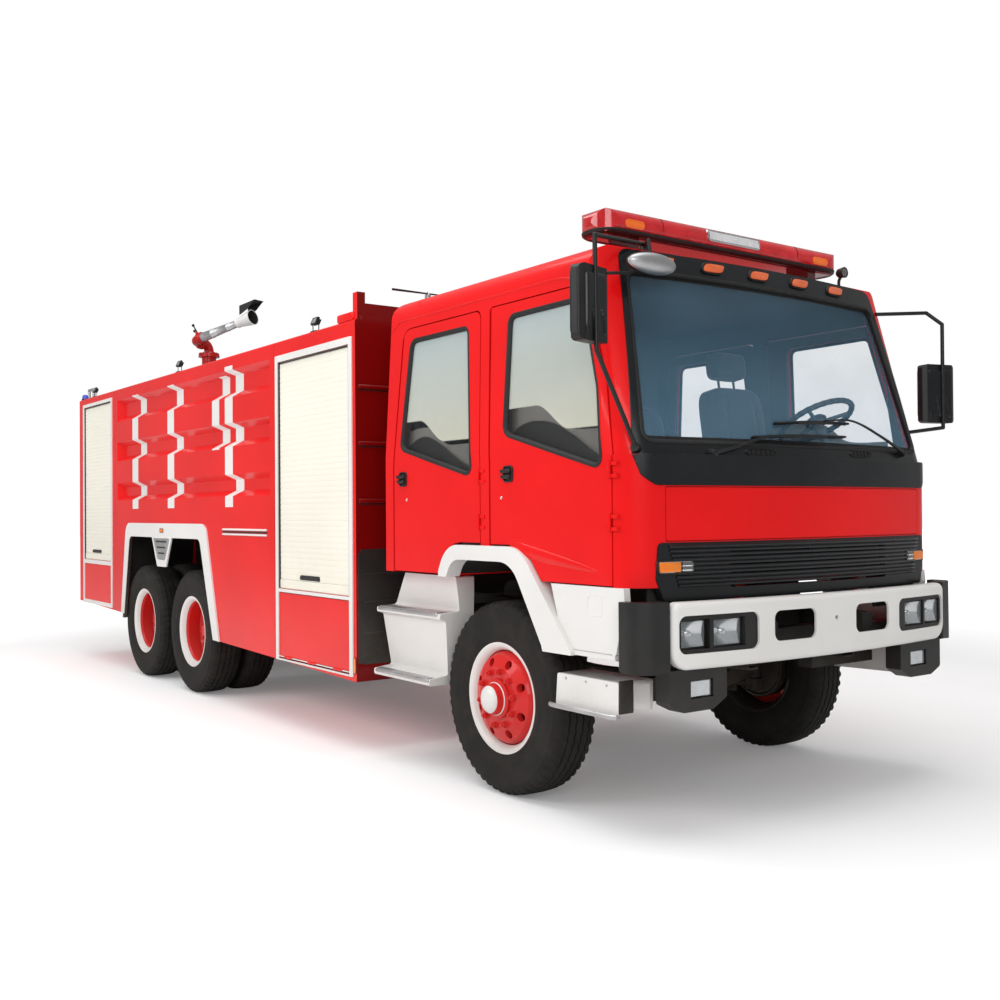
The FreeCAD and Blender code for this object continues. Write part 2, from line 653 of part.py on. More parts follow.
pod = along([(697, 650, 15), (790, 600, 20), (985, 600, 20), (1074, 640, 20), (1074, BUMPER_Z0, 0),
             (697, BUMPER_Z0, 0)],
            POD_FRONT - 95, POD_FRONT)
pod = pod.cut(box(POD_FRONT - 34, POD_FRONT + 5, *POD_LAMP))
pod_lamp = box(POD_FRONT - 34, POD_FRONT - 14, *POD_LAMP)
store("bumper_plastics", both(cap) + both(bezel) + both(pod))
store("headlamps", lamps + both(pod_lamp))

# frame
def rail(y_out):
    profile = [(y_out, RAIL_Z0, 12), (y_out, RAIL_Z1, 12), (y_out - RAIL_FLANGE, RAIL_Z1, 0),
               (y_out - RAIL_FLANGE, RAIL_Z1 - RAIL_T, 0), (y_out - RAIL_T, RAIL_Z1 - RAIL_T, 6),
               (y_out - RAIL_T, RAIL_Z0 + RAIL_T, 6), (y_out - RAIL_FLANGE, RAIL_Z0 + RAIL_T, 0),
               (y_out - RAIL_FLANGE, RAIL_Z0, 0)]
    return along(profile, BODY_REAR + 40, 1120)


frame = both(rail(RAIL_OUT))
for x in (BODY_REAR + 120, SEAM_REAR - 120, BOGIE_X, SEAM_FRONT - 678, BODY_FRONT - 400):
    frame.append(box(x - 60, x + 60, -RAIL_OUT + RAIL_T, RAIL_OUT - RAIL_T, RAIL_Z1 - 105, RAIL_Z1 - 20))
front_beam = box(1000, 1090, -RAIL_OUT + RAIL_T, RAIL_OUT - RAIL_T, RAIL_Z0 + 20, RAIL_Z1 - 60)
frame.append(front_beam)
bracket = across([(980, RAIL_Z0, 0), (1240, BUMPER_Z0 + 30, 0), (1240, 985, 15), (1130, 990, 20),
                  (PIVOT_X + 42, 1070, 0), (PIVOT_X + 42, PIVOT_Z + 42, 42),
                  (PIVOT_X - 42, PIVOT_Z + 42, 42),
                  (980, RAIL_Z1, 0)], RAIL_OUT - 90, RAIL_OUT)
bumper_seat = box(1180, 1292, RAIL_OUT - 90, RAIL_OUT, BUMPER_Z0 + 30, BUMPER_Z0 + 90)
pin = rod((PIVOT_X, RAIL_OUT - 10, PIVOT_Z), (PIVOT_X, 478, PIVOT_Z), KINGPIN_R)
for part in (bracket, bumper_seat, pin):
    frame.extend(both(part))
step_arm = box(740, 840, RAIL_OUT, STEP_IN, 640, 700)
step_drop = box(740, 840, RAIL_OUT, RAIL_OUT + 40, 640, 800)
outrigger = box(-1150, -1050, RAIL_OUT - 5, STAIR_IN, 860, 940)
cap_arm = box(1070, 1108, RAIL_OUT - 5, CAP_IN, 840, 900)
for part in (step_arm, step_drop, outrigger, cap_arm):
    frame.extend(both(part))
for x in (BODY_FRONT - 200, SEAM_FRONT + 172, SEAM_FRONT - 578, SEAM_REAR - 220, BODY_REAR + 320):
    frame.extend(both(box(x - 50, x + 50, RAIL_OUT - 5, CHANNEL_HALF, 840, 940)))
store("frame_rails", fuse(frame))

ENGINE_HALF = RAIL_OUT - RAIL_FLANGE - 20
engine = across([(-520, 660, 40), (640, 660, 40), (640, 1400, 50), (-520, 1440, 60)], -ENGINE_HALF,
                ENGINE_HALF)
gearbox = along(rect(-190, 190, 700, 1060, 60), -1250, -500)
radiator = box(720, 820, -345, 345, 760, 1400)
hose = box(630, 730, -120, 120, 1000, 1200)
mounts = []
for x in (-350, 420):
    mounts.extend(both(box(x - 60, x + 60, ENGINE_HALF - 30, RAIL_OUT - RAIL_T, 820, 880)))
store("engine_block", fuse([engine, gearbox, radiator, hose] + mounts))

# steps beside the cab
low_step = across([(560, 575, 12), (1020, 585, 12), (1024, 735, 12), (575, 735, 12)], STEP_IN, 1205)
low_step = low_step.cut(box(590, 1030, 1005, 1185, 560, 715))
STAIR = [(STAIR_IN, 1160, 0), (STAIR_IN, 520, 0), (1215, 520, 15), (1215, 560, 10), (1090, 575, 15),
         (1150, 900, 15),
         (1195, 915, 10), (1195, 945, 10), (1060, 955, 15), (1090, 1160, 0)]
stair = along(STAIR, -1240, -500)
stair = stair.common(across([(-1060, 1162, 20), (-495, 1162, 20), (-505, 940, 0), (-600, 515, 12),
                             (-1238, 515, 12),
                             (-1232, 945, 15)], 900, 1300))
store("cab_steps", both(low_step) + both(stair))

# body modules
def skirt_z(x):
    return SKIRT_FRONT_Z + SKIRT_SLOPE * (BODY_FRONT - x)


def module(x0, x1):
    # body section with its parapet, the channel for the frame, and the rising skirt line
    section = [(-BODY_HALF, 400, 0), (-BODY_HALF, BODY_TOP, 18), (25 - BODY_HALF, BODY_TOP, 4),
               (25 - BODY_HALF, DECK, 0),
               (BODY_HALF - 25, DECK, 0), (BODY_HALF - 25, BODY_TOP, 4), (BODY_HALF, BODY_TOP, 18),
               (BODY_HALF, 400, 0), (CHANNEL_HALF, 400, 0), (CHANNEL_HALF, CHANNEL_TOP, 20),
               (-CHANNEL_HALF, CHANNEL_TOP, 20), (-CHANNEL_HALF, 400, 0)]
    side = [(x0, skirt_z(x0), 0), (x1, skirt_z(x1), 0), (x1, BODY_TOP + 1, 0), (x0, BODY_TOP + 1, 0)]
    return along(section, x0, x1).common(across(side, -1400, 1400))


FRONT_SHUTTER = (-2551.0, -1482.0, 992.0, 2625.0)
REAR_SHUTTER = (BODY_REAR + 190.0, SEAM_REAR - 120.0, 1055.0, 2680.0)
FLAP = (-2548.0, -1485.0, 512.0, 964.0)
FLAP_HINGE_DROP = 5.0
FLAP_HINGE_Y = BODY_HALF + 5.0
FLAP_EYE_R = 8.0
FLAP_DROP = 20.0          # opening below the flap, room for its hinge
FLAP_PIN_R = 4.0
shutters = []


def shutter_bay(body, opening):
    x0, x1, z0, z1 = opening
    for cut in both(box(x0, x1, BODY_HALF - SHUTTER_DEPTH, BODY_HALF + 5, z0, z1)):
        body = body.cut(cut)
    back = BODY_HALF - SHUTTER_DEPTH
    shutters.extend(both(box(x0, x1, back, back + SHUTTER_T, z0, z1)))
    return body


front_module = module(SEAM_FRONT + 1.5, BODY_FRONT)
front_module = shutter_bay(front_module, FRONT_SHUTTER)
FLAP_T = 25.0
pocket = box(FLAP[0] - 2, FLAP[1] + 2, BODY_HALF - 430, BODY_HALF + 5, FLAP[2] - FLAP_DROP, FLAP[3] + 6)
front_module = front_module.cut(pocket).cut(flip(pocket))
bulkhead_post = box(BODY_FRONT - 60, BODY_FRONT, BODY_HALF - 75, BODY_HALF - 18, DECK - 50, 2955)
bulkhead_beam = box(BODY_FRONT - 45, BODY_FRONT, -BODY_HALF + 75, BODY_HALF - 75, DECK - 50, 2885)
store("front_lockers", fuse([front_module, bulkhead_beam] + both(bulkhead_post)))

flap = box(FLAP[0] + 6, FLAP[1] - 6, BODY_HALF - FLAP_T, BODY_HALF + 1, FLAP[2], FLAP[3])
flap_axis = FLAP[2] - FLAP_HINGE_DROP
flap_eyes = []
for i in range(3):
    x = FLAP[0] + (FLAP[1] - FLAP[0]) * (0.15 + 0.35 * i)
    flap_eyes.append(rod((x - 60, FLAP_HINGE_Y, flap_axis), (x + 60, FLAP_HINGE_Y, flap_axis),
                         FLAP_EYE_R))
flap_bore = rod((FLAP[0], FLAP_HINGE_Y, flap_axis), (FLAP[1], FLAP_HINGE_Y, flap_axis), FLAP_PIN_R + FIT)
flap = fuse([flap] + flap_eyes).cut(flap_bore)
for side, shape in (("left", flap), ("right", flip(flap))):
    store("locker_flap_" + side, shape)

tank = module(SEAM_REAR + 1.5, SEAM_FRONT - 1.5)


def about_bogie(corners):
    return [(BOGIE_X + c[0], c[1], c[2]) for c in corners]


REAR_ARCH_OUT = about_bogie([(-1185, 420, 0), (-995, 1450, 130), (1060, 1450, 130), (1370, 420, 0)])
REAR_ARCH_IN = about_bogie([(-1090, 420, 0), (-885, 1322, 70), (930, 1322, 70), (1250, 420, 0)])
REAR_WELL = about_bogie([(-1225, 400, 0), (-1075, 1322, 120), (1105, 1322, 120), (1305, 400, 0)])
WELL_SKIN = 16.0
for well in both(across(REAR_WELL, 545, BODY_HALF - WELL_SKIN)) + both(across(REAR_ARCH_IN, 1200, 1300)):
    tank = tank.cut(well)
tank = tank.cut(box(BOGIE_X - 1005, BOGIE_X + 1175, -546, 546, 400, CHANNEL_TOP))
GROOVES = [(1690, 1825), (2080, 2230), (2470, 2648)]
GROOVE_X = (SEAM_REAR + 80.0, SEAM_FRONT - 78.0)
GROOVE_DEPTH = 50.0


def groove(z0, z1):
    outer = [V(GROOVE_X[0], BODY_HALF + 1, z0 - 20), V(GROOVE_X[1], BODY_HALF + 1, z0 - 20),
             V(GROOVE_X[1], BODY_HALF + 1, z1 + 20), V(GROOVE_X[0], BODY_HALF + 1, z1 + 20)]
    inner = [V(GROOVE_X[0] + 70, BODY_HALF - GROOVE_DEPTH, z0 + 25),
             V(GROOVE_X[1] - 70, BODY_HALF - GROOVE_DEPTH, z0 + 25),
             V(GROOVE_X[1] - 70, BODY_HALF - GROOVE_DEPTH, z1 - 25),
             V(GROOVE_X[0] + 70, BODY_HALF - GROOVE_DEPTH, z1 - 25)]
    loops = [Part.makePolygon(p + [p[0]]) for p in (outer, inner)]
    return Part.makeLoft(loops, True, True)


for z0, z1 in GROOVES:
    for cut in both(groove(z0, z1)):
        tank = tank.cut(cut)
store("tank_body", tank)

pump = module(BODY_REAR, SEAM_REAR - 1.5)
pump = shutter_bay(pump, REAR_SHUTTER)
BACK_SHUTTER_Y = 520.0
BACK_SHUTTER_Z = (1010.0, 2560.0)
pump = pump.cut(box(BODY_REAR - 5, BODY_REAR + SHUTTER_DEPTH, -BACK_SHUTTER_Y, BACK_SHUTTER_Y,
                    *BACK_SHUTTER_Z))
shutters.append(box(BODY_REAR + SHUTTER_DEPTH - SHUTTER_T, BODY_REAR + SHUTTER_DEPTH, -BACK_SHUTTER_Y,
                    BACK_SHUTTER_Y,
                    *BACK_SHUTTER_Z))
store("pump_module", pump)
store("roller_shutters", shutters)

FRAME_T = 8.0


def frame_side(outer, holes):
    piece = across(rect(*outer, 10), BODY_HALF, BODY_HALF + FRAME_T)
    for hole in holes:
        piece = piece.cut(across(rect(*hole), BODY_HALF - 5, BODY_HALF + 20))
    return piece


frames = []
front_frame = frame_side((-2592, -1440, FLAP[2] - FLAP_DROP - 12, 2672),
                         [FRONT_SHUTTER, (FLAP[0], FLAP[1], FLAP[2] - FLAP_DROP, FLAP[3] + 6)])
flap_pin = rod((FLAP[0] - 12, FLAP_HINGE_Y, flap_axis), (FLAP[1] + 12, FLAP_HINGE_Y, flap_axis),
               FLAP_PIN_R)
frames.extend(both(fuse([front_frame, flap_pin])))
rear_x = REAR_SHUTTER[:2]
frames.extend(both(frame_side((rear_x[0] - 40, rear_x[1] + 40, 590, 2712),
                              [REAR_SHUTTER, rear_x + (630, 1015)])))
back_frame = box(BODY_REAR - FRAME_T, BODY_REAR, -560, 560, 970, 2600)
back_frame = back_frame.cut(box(BODY_REAR - 20, BODY_REAR + 5, -BACK_SHUTTER_Y, BACK_SHUTTER_Y,
                                *BACK_SHUTTER_Z))
frames.append(back_frame)
store("shutter_frames", frames)

TRIM_T = 13.0
trim = across(REAR_ARCH_OUT, BODY_HALF, BODY_HALF + TRIM_T).cut(across(REAR_ARCH_IN, 1200, 1300))
trim_x = (BOGIE_X - 1395, BOGIE_X + 1605)
trim = trim.common(across([(trim_x[0], skirt_z(trim_x[0]), 0), (trim_x[1], skirt_z(trim_x[1]), 0),
                           (trim_x[1], 1500, 0), (trim_x[0], 1500, 0)], 1200, 1300))
vee = across(about_bogie([(-285, 1400, 0), (-105, 1060, 25), (125, 1060, 25), (305, 1400, 0)]), BODY_HALF,
             BODY_HALF + TRIM_T)
store("arch_trims", both(fuse([trim, vee])))

# roof
DECK_T = 6.0
deck = box(BODY_REAR + 30, BODY_FRONT - 60, -BODY_HALF + 30, BODY_HALF - 30, DECK, DECK + DECK_T)
lids = []
for x in (SEAM_FRONT - 678, SEAM_REAR + 1080):
    lids.append(rod((x, 0, DECK + DECK_T), (x, 0, DECK + 90), 260))
    lids.append(rod((x, 0, DECK + 90), (x, 0, DECK + 108), 285))
deck = deck.cut(rod((MONITOR_X, 0, DECK - 5), (MONITOR_X, 0, DECK + 20), 182))
STEP_TOP = 640.0
LADDER_Y = (-1130.0, -740.0)
LADDER_X = BODY_REAR - 55.0
LADDER_TOP_X = BODY_REAR + 120.0
LADDER_R = 16.0
leg_holes = []
for y in LADDER_Y:
    deck = deck.cut(rod((LADDER_TOP_X, y, DECK - 5), (LADDER_TOP_X, y, DECK + 20), LADDER_R + SEAT))
    leg_holes.append(rod((LADDER_X, y, STEP_TOP - 60), (LADDER_X, y, STEP_TOP + 5), LADDER_R + SEAT))
store("roof_deck", fuse([deck] + lids))

FLOOD_X = (BODY_FRONT - 615, BOGIE_X + 368, BODY_REAR + 474)
flood = []
for x in FLOOD_X:
    foot = box(x - 40, x + 40, BODY_HALF - 25, BODY_HALF - 5, BODY_TOP, BODY_TOP + 30)
    lamp = across([(x - 45, BODY_TOP + 25, 6), (x + 40, BODY_TOP + 15, 6), (x + 45, BODY_TOP + 100, 6),
                   (x - 40, BODY_TOP + 110, 6)], BODY_HALF - 75, BODY_HALF + 5)
    flood.extend(both(fuse([foot, lamp])))
store("roof_lamps", flood)

ladder = []
for y in LADDER_Y:
    leg = [(LADDER_X, y, STEP_TOP - 40), (LADDER_X, y, 2900), (LADDER_TOP_X, y, 2900),
           (LADDER_TOP_X, y, DECK)]
    ladder.append(tube(leg, LADDER_R))
    for z in (820, 1500, 2500):
        ladder.append(rod((LADDER_X, y, z), (BODY_REAR, y, z), 12))
for i in range(7):
    z = 860 + i * 290
    ladder.append(rod((LADDER_X, LADDER_Y[0], z), (LADDER_X, LADDER_Y[1], z), 13))
store("rear_ladder", fuse(ladder))

step = box(-REAR_OVERHANG, BODY_REAR, -1180, 1180, STEP_TOP - 40, STEP_TOP)
for hole in leg_holes:
    step = step.cut(hole)
lamp_boxes = both(box(BODY_REAR - 34, BODY_REAR, 780, 1180, STEP_TOP, STEP_TOP + 120))
store("rear_step", fuse([step] + lamp_boxes))

# wheels
def tyre_solid(y, x):
    w = TYRE_W / 2.0
    side = [(-104.0, 287.2), (-119.0, 303.0), (-134.0, 350.0), (-w, 410.0), (-131.0, 470.0),
            (-114.0, 512.0),
            (-96.0, TYRE_R - 4.0)]
    ring = side + [(0.0, TYRE_R)] + [(-p[0], p[1]) for p in reversed(side)]
    ring += [(71.0, 286.2), (70.0, 290.0), (-70.0, 290.0), (-71.0, 286.2)]
    return turned(ring, y, x, TYRE_R)


def rim_solid(y, x):
    ring = [(-119, 302), (-105, 287), (-70, 286), (-50, 262), (50, 262), (70, 286), (105, 287),
            (119, 302),
            (119, 290), (108, 275), (58, 250), (-58, 250), (-108, 275), (-119, 290)]
    return turned(ring, y, x, TYRE_R)


HAND_HOLES = 8


def hand_holes(y0, y1, x, ring_r, hole_r):
    holes = []
    for i in range(HAND_HOLES):
        a = math.radians(i * 360.0 / HAND_HOLES + 22.5)
        px = x + ring_r * math.cos(a)
        pz = TYRE_R + ring_r * math.sin(a)
        holes.append(rod((px, y0, pz), (px, y1, pz), hole_r))
    return holes


def front_rim():
    y = FRONT_TRACK_HALF
    barrel = rim_solid(y, 0)
    disc = turned([(60, 252), (78, 252), (112, 232), (138, 170), (138, 90), (100, 90), (100, 165),
                   (84, 215), (60, 240)],
                  y, 0, TYRE_R)
    for hole in hand_holes(y, y + 200, 0, 200, 24):
        disc = disc.cut(hole)
    hub_body = turned([(-20, SPINDLE_R + FIT), (-20, 130), (60, 130), (100, 92), (100, 108), (152, 108),
                       (160, 86),
                       (196, 78), (208, 55), (210, 0), (60, 0), (60, SPINDLE_R + FIT)], y, 0, TYRE_R)
    return fuse([barrel, disc, hub_body])


def dual_rim(x):
    outer = DUAL_OUT
    inner = DUAL_OUT - DUAL_PITCH
    face = (outer + inner) / 2.0
    pieces = [rim_solid(outer, x), rim_solid(inner, x)]
    dish = turned([(0, 90), (0, 170), (35, 215), (100, 256), (125, 256), (60, 205), (20, 165),
                   (20, 90)], face, x, TYRE_R)
    back = turned([(0, 90), (0, 170), (-35, 215), (-100, 256), (-125, 256), (-60, 205), (-20, 165),
                   (-20, 90)], face, x,
                  TYRE_R)
    for hole in hand_holes(face - 200, face + 200, x, 196, 23):
        dish = dish.cut(hole)
        back = back.cut(hole)
    hub_body = turned([(-210, SPINDLE_R + 30 + FIT), (-210, 200), (-40, 200), (-30, 120), (-20, 112),
                       (120, 96),
                       (150, 70), (150, 0), (60, 0), (60, SPINDLE_R + 30 + FIT)], face, x, TYRE_R)
    return fuse(pieces + [dish, back, hub_body])


front_wheel_rim = front_rim()
front_wheel_tyre = tyre_solid(FRONT_TRACK_HALF, 0)
AXLES = [("mid", -WHEELBASE), ("rear", -WHEELBASE - BOGIE)]
for side, turn in (("left", False), ("right", True)):
    pairs = [("front_tyre_", [front_wheel_tyre]), ("front_rim_", [front_wheel_rim])]
    for name, x in AXLES:
        pairs.append((name + "_tyres_", [tyre_solid(DUAL_OUT, x), tyre_solid(DUAL_OUT - DUAL_PITCH, x)]))
        pairs.append((name + "_rims_", [dual_rim(x)]))
    for name, shapes in pairs:
        store(name + side, [flip(s) if turn else s for s in shapes])

# front axle and steering
beam = along([(-860, 470, 0), (-640, 430, 60), (-560, 400, 60), (560, 400, 60), (640, 430, 60),
              (860, 470, 0),
              (860, 580, 0), (640, 530, 60), (560, 490, 60), (-560, 490, 60), (-640, 530, 60),
              (-860, 580, 0)], -45, 45)
boss = rod((0, KINGPIN_Y, 450), (0, KINGPIN_Y, 600), 46)
kingpin = rod((0, KINGPIN_Y, 372), (0, KINGPIN_Y, 678), KINGPIN_R)
spring_arc = []
for i in range(5):
    half_len = 700 - i * 110
    z_mid = 640 - i * 16
    sag = 90.0 * (half_len / 700.0) ** 2
    top = Part.Arc(V(-half_len, 395, z_mid + sag), V(0, 395, z_mid),
                   V(half_len, 395, z_mid + sag)).toShape()
    low_ends = [V(half_len, 395, z_mid + sag - 16), V(-half_len, 395, z_mid + sag - 16)]
    low = Part.Arc(low_ends[0], V(0, 395, z_mid - 16), low_ends[1]).toShape()
    ends = [Part.makeLine(V(half_len, 395, z_mid + sag), low_ends[0]),
            Part.makeLine(low_ends[1], V(-half_len, 395, z_mid + sag))]
    spring_arc.append(Part.Face(Part.Wire([top, ends[0], low, ends[1]])).extrude(V(0, 75, 0)))
spring = fuse(spring_arc + [box(-90, 90, 390, 475, 488, 585)])
hangers = [box(660, 720, 400, RAIL_OUT, 715, RAIL_Z0), box(-720, -660, 400, RAIL_OUT, 715, RAIL_Z0)]
front_pieces = [beam] + both(boss) + both(kingpin) + both(fuse([spring] + hangers))
store("front_axle", fuse(front_pieces))


def knuckle():
    web = box(-52, 52, KINGPIN_Y + 50, KINGPIN_Y + 92, 372, 678)
    ears = []
    for z0, z1 in ((372, 444), (606, 678)):
        ear = upright([(-52, KINGPIN_Y - 46, 40), (52, KINGPIN_Y - 46, 40), (52, KINGPIN_Y + 60, 0),
                       (-52, KINGPIN_Y + 60, 0)], z0, z1)
        ears.append(ear)
    spindle = rod((0, KINGPIN_Y + 80, TYRE_R), (0, FRONT_TRACK_HALF + 55, TYRE_R), SPINDLE_R)
    arm = box(-STEER_ARM, -40, KINGPIN_Y - 18, KINGPIN_Y + 18, 384, 416)
    eye = rod((-STEER_ARM, KINGPIN_Y, 384), (-STEER_ARM, KINGPIN_Y, 416), 24)
    body = fuse([web, spindle, arm, eye] + ears)
    body = body.cut(rod((0, KINGPIN_Y, 360), (0, KINGPIN_Y, 690), KINGPIN_R + FIT))
    return body.cut(rod((-STEER_ARM, KINGPIN_Y, 370), (-STEER_ARM, KINGPIN_Y, 430), 9 + FIT))


for side, shape in (("left", knuckle()), ("right", flip(knuckle()))):
    store("knuckle_" + side, shape)

tie = rod((-STEER_ARM, -KINGPIN_Y, 360), (-STEER_ARM, KINGPIN_Y, 360), 15)
tie_ends = both(fuse([rod((-STEER_ARM, KINGPIN_Y, 342), (-STEER_ARM, KINGPIN_Y, 378), 24),
                      rod((-STEER_ARM, KINGPIN_Y, 360), (-STEER_ARM, KINGPIN_Y, 414), 9)]))
store("tie_rod", fuse([tie] + tie_ends))

# driven axles
driven = []
for name, x in AXLES:
    tube_part = rod((x, -700, TYRE_R), (x, 700, TYRE_R), 72)
    spindle = rod((x, -980, TYRE_R), (x, 980, TYRE_R), SPINDLE_R + 30)
    ball = Part.makeSphere(205, V(x, 0, TYRE_R))
    nose = rod((x + 150, 0, TYRE_R + 20), (x + 330, 0, TYRE_R + 45), 80)
    driven.extend([tube_part, spindle, ball, nose])
pack = across([(BOGIE_X - 640, 612, 0), (BOGIE_X - 620, 585, 0), (BOGIE_X + 620, 585, 0),
               (BOGIE_X + 640, 612, 0),
               (BOGIE_X + 120, 735, 60), (BOGIE_X - 120, 735, 60)], 380, 460)
trunnion = rod((BOGIE_X, -480, 640), (BOGIE_X, 480, 640), 55)
driven.extend(both(pack))
driven.append(trunnion)
coupling = rod((-1250, 0, 860), (-1290, 0, 860), 62)
first_shaft = rod((-1280, 0, 860), (-WHEELBASE + 330, 0, TYRE_R + 45), 55)
second_shaft = rod((-WHEELBASE - 190, 0, TYRE_R + 20), (-WHEELBASE - BOGIE + 330, 0, TYRE_R + 45), 50)
hanger_pads = both(box(BOGIE_X - 90, BOGIE_X + 90, 400, 428, 700, RAIL_Z0))
store("rear_axles", fuse(driven + hanger_pads + [coupling, first_shaft, second_shaft]))

# monitor
def turn_monitor(shape, pitch=0.0):
    out = shape.copy()
    if pitch:
        out.rotate(V(MONITOR_X, 0, PITCH_Z), V(0, 1, 0), -pitch)
    out.rotate(V(MONITOR_X, 0, 0), V(0, 0, 1), MONITOR_YAW)
    return out


PITCH_Z = MONITOR_BASE_TOP + 130.0
base = fuse([rod((MONITOR_X, 0, DECK), (MONITOR_X, 0, DECK + 22), 180),
             rod((MONITOR_X, 0, DECK + 22), (MONITOR_X, 0, MONITOR_BASE_TOP - 20), 78),
             rod((MONITOR_X, 0, MONITOR_BASE_TOP - 20), (MONITOR_X, 0, MONITOR_BASE_TOP), 115)])
store("monitor_base", base)

m = MONITOR_X
swivel = [rod((m, 0, MONITOR_BASE_TOP + 0.3), (m, 0, MONITOR_BASE_TOP + 24), 112),
          rod((m, 0, MONITOR_BASE_TOP + 20), (m, 0, PITCH_Z - MONITOR_BEND), MONITOR_PIPE_R + 16)]
bend_face = Part.Face(Part.Wire(Part.makeCircle(MONITOR_PIPE_R, V(m, 0, PITCH_Z - MONITOR_BEND),
                                                V(0, 0, 1))))
swivel.append(bend_face.revolve(V(m, -MONITOR_BEND, PITCH_Z - MONITOR_BEND), V(1, 0, 0), 90))
swivel.append(rod((m, -MONITOR_BEND, PITCH_Z), (m, -MONITOR_BEND - 30, PITCH_Z), MONITOR_PIPE_R + 16))
lever = fuse([rod((m - 30, 0, PITCH_Z - 30), (m - 330, 110, PITCH_Z + 190), 7),
              Part.makeSphere(17, V(m - 330, 110, PITCH_Z + 190))])
swivel.append(lever)
store("monitor_swivel", turn_monitor(fuse(swivel)))

joint_y = -MONITOR_BEND - 30.3
barrel_y = joint_y - 30 - MONITOR_BEND
barrel = [rod((m, joint_y, PITCH_Z), (m, joint_y - 30, PITCH_Z), MONITOR_PIPE_R + 16)]
side_face = Part.Face(Part.Wire(Part.makeCircle(MONITOR_PIPE_R, V(m, joint_y - 30, PITCH_Z), V(0, 1, 0))))
barrel.append(side_face.revolve(V(m + MONITOR_BEND, joint_y - 30, PITCH_Z), V(0, 0, 1), 90))
start = m + MONITOR_BEND
barrel.append(rod((start, barrel_y, PITCH_Z), (start + 60, barrel_y, PITCH_Z), MONITOR_PIPE_R + 14))
taper = Part.makeCone(MONITOR_PIPE_R, 38, 560, V(start + 40, barrel_y, PITCH_Z), V(1, 0, 0))
tip = start + 600
collar = rod((tip - 20, barrel_y, PITCH_Z), (tip + 30, barrel_y, PITCH_Z), 52)
nozzle = Part.makeCone(52, 84, 170, V(tip + 30, barrel_y, PITCH_Z), V(1, 0, 0))
nozzle = nozzle.cut(Part.makeCone(30, 74, 150, V(tip + 52, barrel_y, PITCH_Z), V(1, 0, 0)))
shade = across([(tip + 80, PITCH_Z + 50, 0), (tip + 95, PITCH_Z + 150, 10),
                (tip + 330, PITCH_Z + 158, 10),
                (tip + 200, PITCH_Z + 84, 0)], barrel_y - 70, barrel_y + 70)
hand_lever = fuse([rod((start + 10, barrel_y, PITCH_Z + 40), (start - 90, barrel_y + 40, PITCH_Z + 190),
                       7),
                   Part.makeSphere(16, V(start - 90, barrel_y + 40, PITCH_Z + 190))])
barrel.extend([taper, collar, nozzle, shade, hand_lever])
store("monitor_barrel", turn_monitor(fuse(barrel), MONITOR_PITCH))
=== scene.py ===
import bmesh
import bpy
import math
import numpy as np
from mathutils import Matrix, Vector


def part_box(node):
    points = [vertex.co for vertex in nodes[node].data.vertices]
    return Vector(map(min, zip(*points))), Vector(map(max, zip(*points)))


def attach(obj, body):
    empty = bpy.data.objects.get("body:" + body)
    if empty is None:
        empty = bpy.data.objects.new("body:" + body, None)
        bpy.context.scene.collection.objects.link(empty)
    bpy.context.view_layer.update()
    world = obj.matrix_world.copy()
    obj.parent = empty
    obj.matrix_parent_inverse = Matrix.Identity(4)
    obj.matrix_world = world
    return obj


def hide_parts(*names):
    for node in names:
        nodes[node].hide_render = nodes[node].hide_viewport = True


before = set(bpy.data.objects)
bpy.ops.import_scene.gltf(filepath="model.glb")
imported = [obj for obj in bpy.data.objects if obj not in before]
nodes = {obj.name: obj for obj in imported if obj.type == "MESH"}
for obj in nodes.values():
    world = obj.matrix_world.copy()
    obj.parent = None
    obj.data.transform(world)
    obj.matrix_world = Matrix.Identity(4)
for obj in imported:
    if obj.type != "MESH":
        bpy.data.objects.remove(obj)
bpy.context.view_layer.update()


def middleOf(node):
    low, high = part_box(node)
    return (np.array(low) + np.array(high)) / 2


axleX = float(middleOf("front_tyre_left")[0])  # stations below run from the front axle, in metres
print("frame loaded, front axle at", round(axleX, 3))


def around(count):
    return np.linspace(0, 2 * math.pi, count, endpoint=False)


def xyz(x, y, z):
    # coordinates of any matching shapes as one array of points
    return np.stack(np.broadcast_arrays(x, y, z), axis=-1)


def surface(points, closeU=False, closeV=False, finish=0, facing=None):
    # a grid of points (u, v, xyz) as vertices and quads; an open sheet is turned to look along facing
    points = np.asarray(points, dtype=float)
    countU, countV = points.shape[:2]
    u, v = np.meshgrid(np.arange(countU - (not closeU)), np.arange(countV - (not closeV)), indexing="ij")
    nextU, nextV = (u + 1) % countU, (v + 1) % countV
    quads = np.stack([u * countV + v, nextU * countV + v, nextU * countV + nextV, u * countV + nextV],
        axis=-1)
    quads = quads.reshape(-1, 4)
    points = points.reshape(-1, 3)
    if facing is not None:
        across = np.cross(points[quads[:, 2]] - points[quads[:, 0]],
            points[quads[:, 3]] - points[quads[:, 1]])
        if float((across @ np.asarray(facing, dtype=float)).sum()) < 0:
            quads = quads[:, ::-1]
    return {"points": points, "quads": quads, "finish": np.full(len(quads), finish),
        "open": facing is not None}


def together(parts):
    # several grids as one set of vertices and quads
    start = np.cumsum([0] + [len(p["points"]) for p in parts[:-1]])
    return {"points": np.concatenate([p["points"] for p in parts]),
        "quads": np.concatenate([p["quads"] + s for p, s in zip(parts, start)]),
        "finish": np.concatenate([p["finish"] for p in parts]), "open": all(p["open"] for p in parts)}


def moved(part, matrix=None, shift=(0, 0, 0)):
    # the same grid turned by a 3 x 3 matrix and then shifted
    points = part["points"] if matrix is None else part["points"] @ np.asarray(matrix).T
    return {**part, "points": points + np.asarray(shift, dtype=float)}


def mirrored(part):
    # the same grid on the truck's other side
    return {**part, "points": part["points"] * np.array([1, -1, 1]), "quads": part["quads"][:, ::-1]}


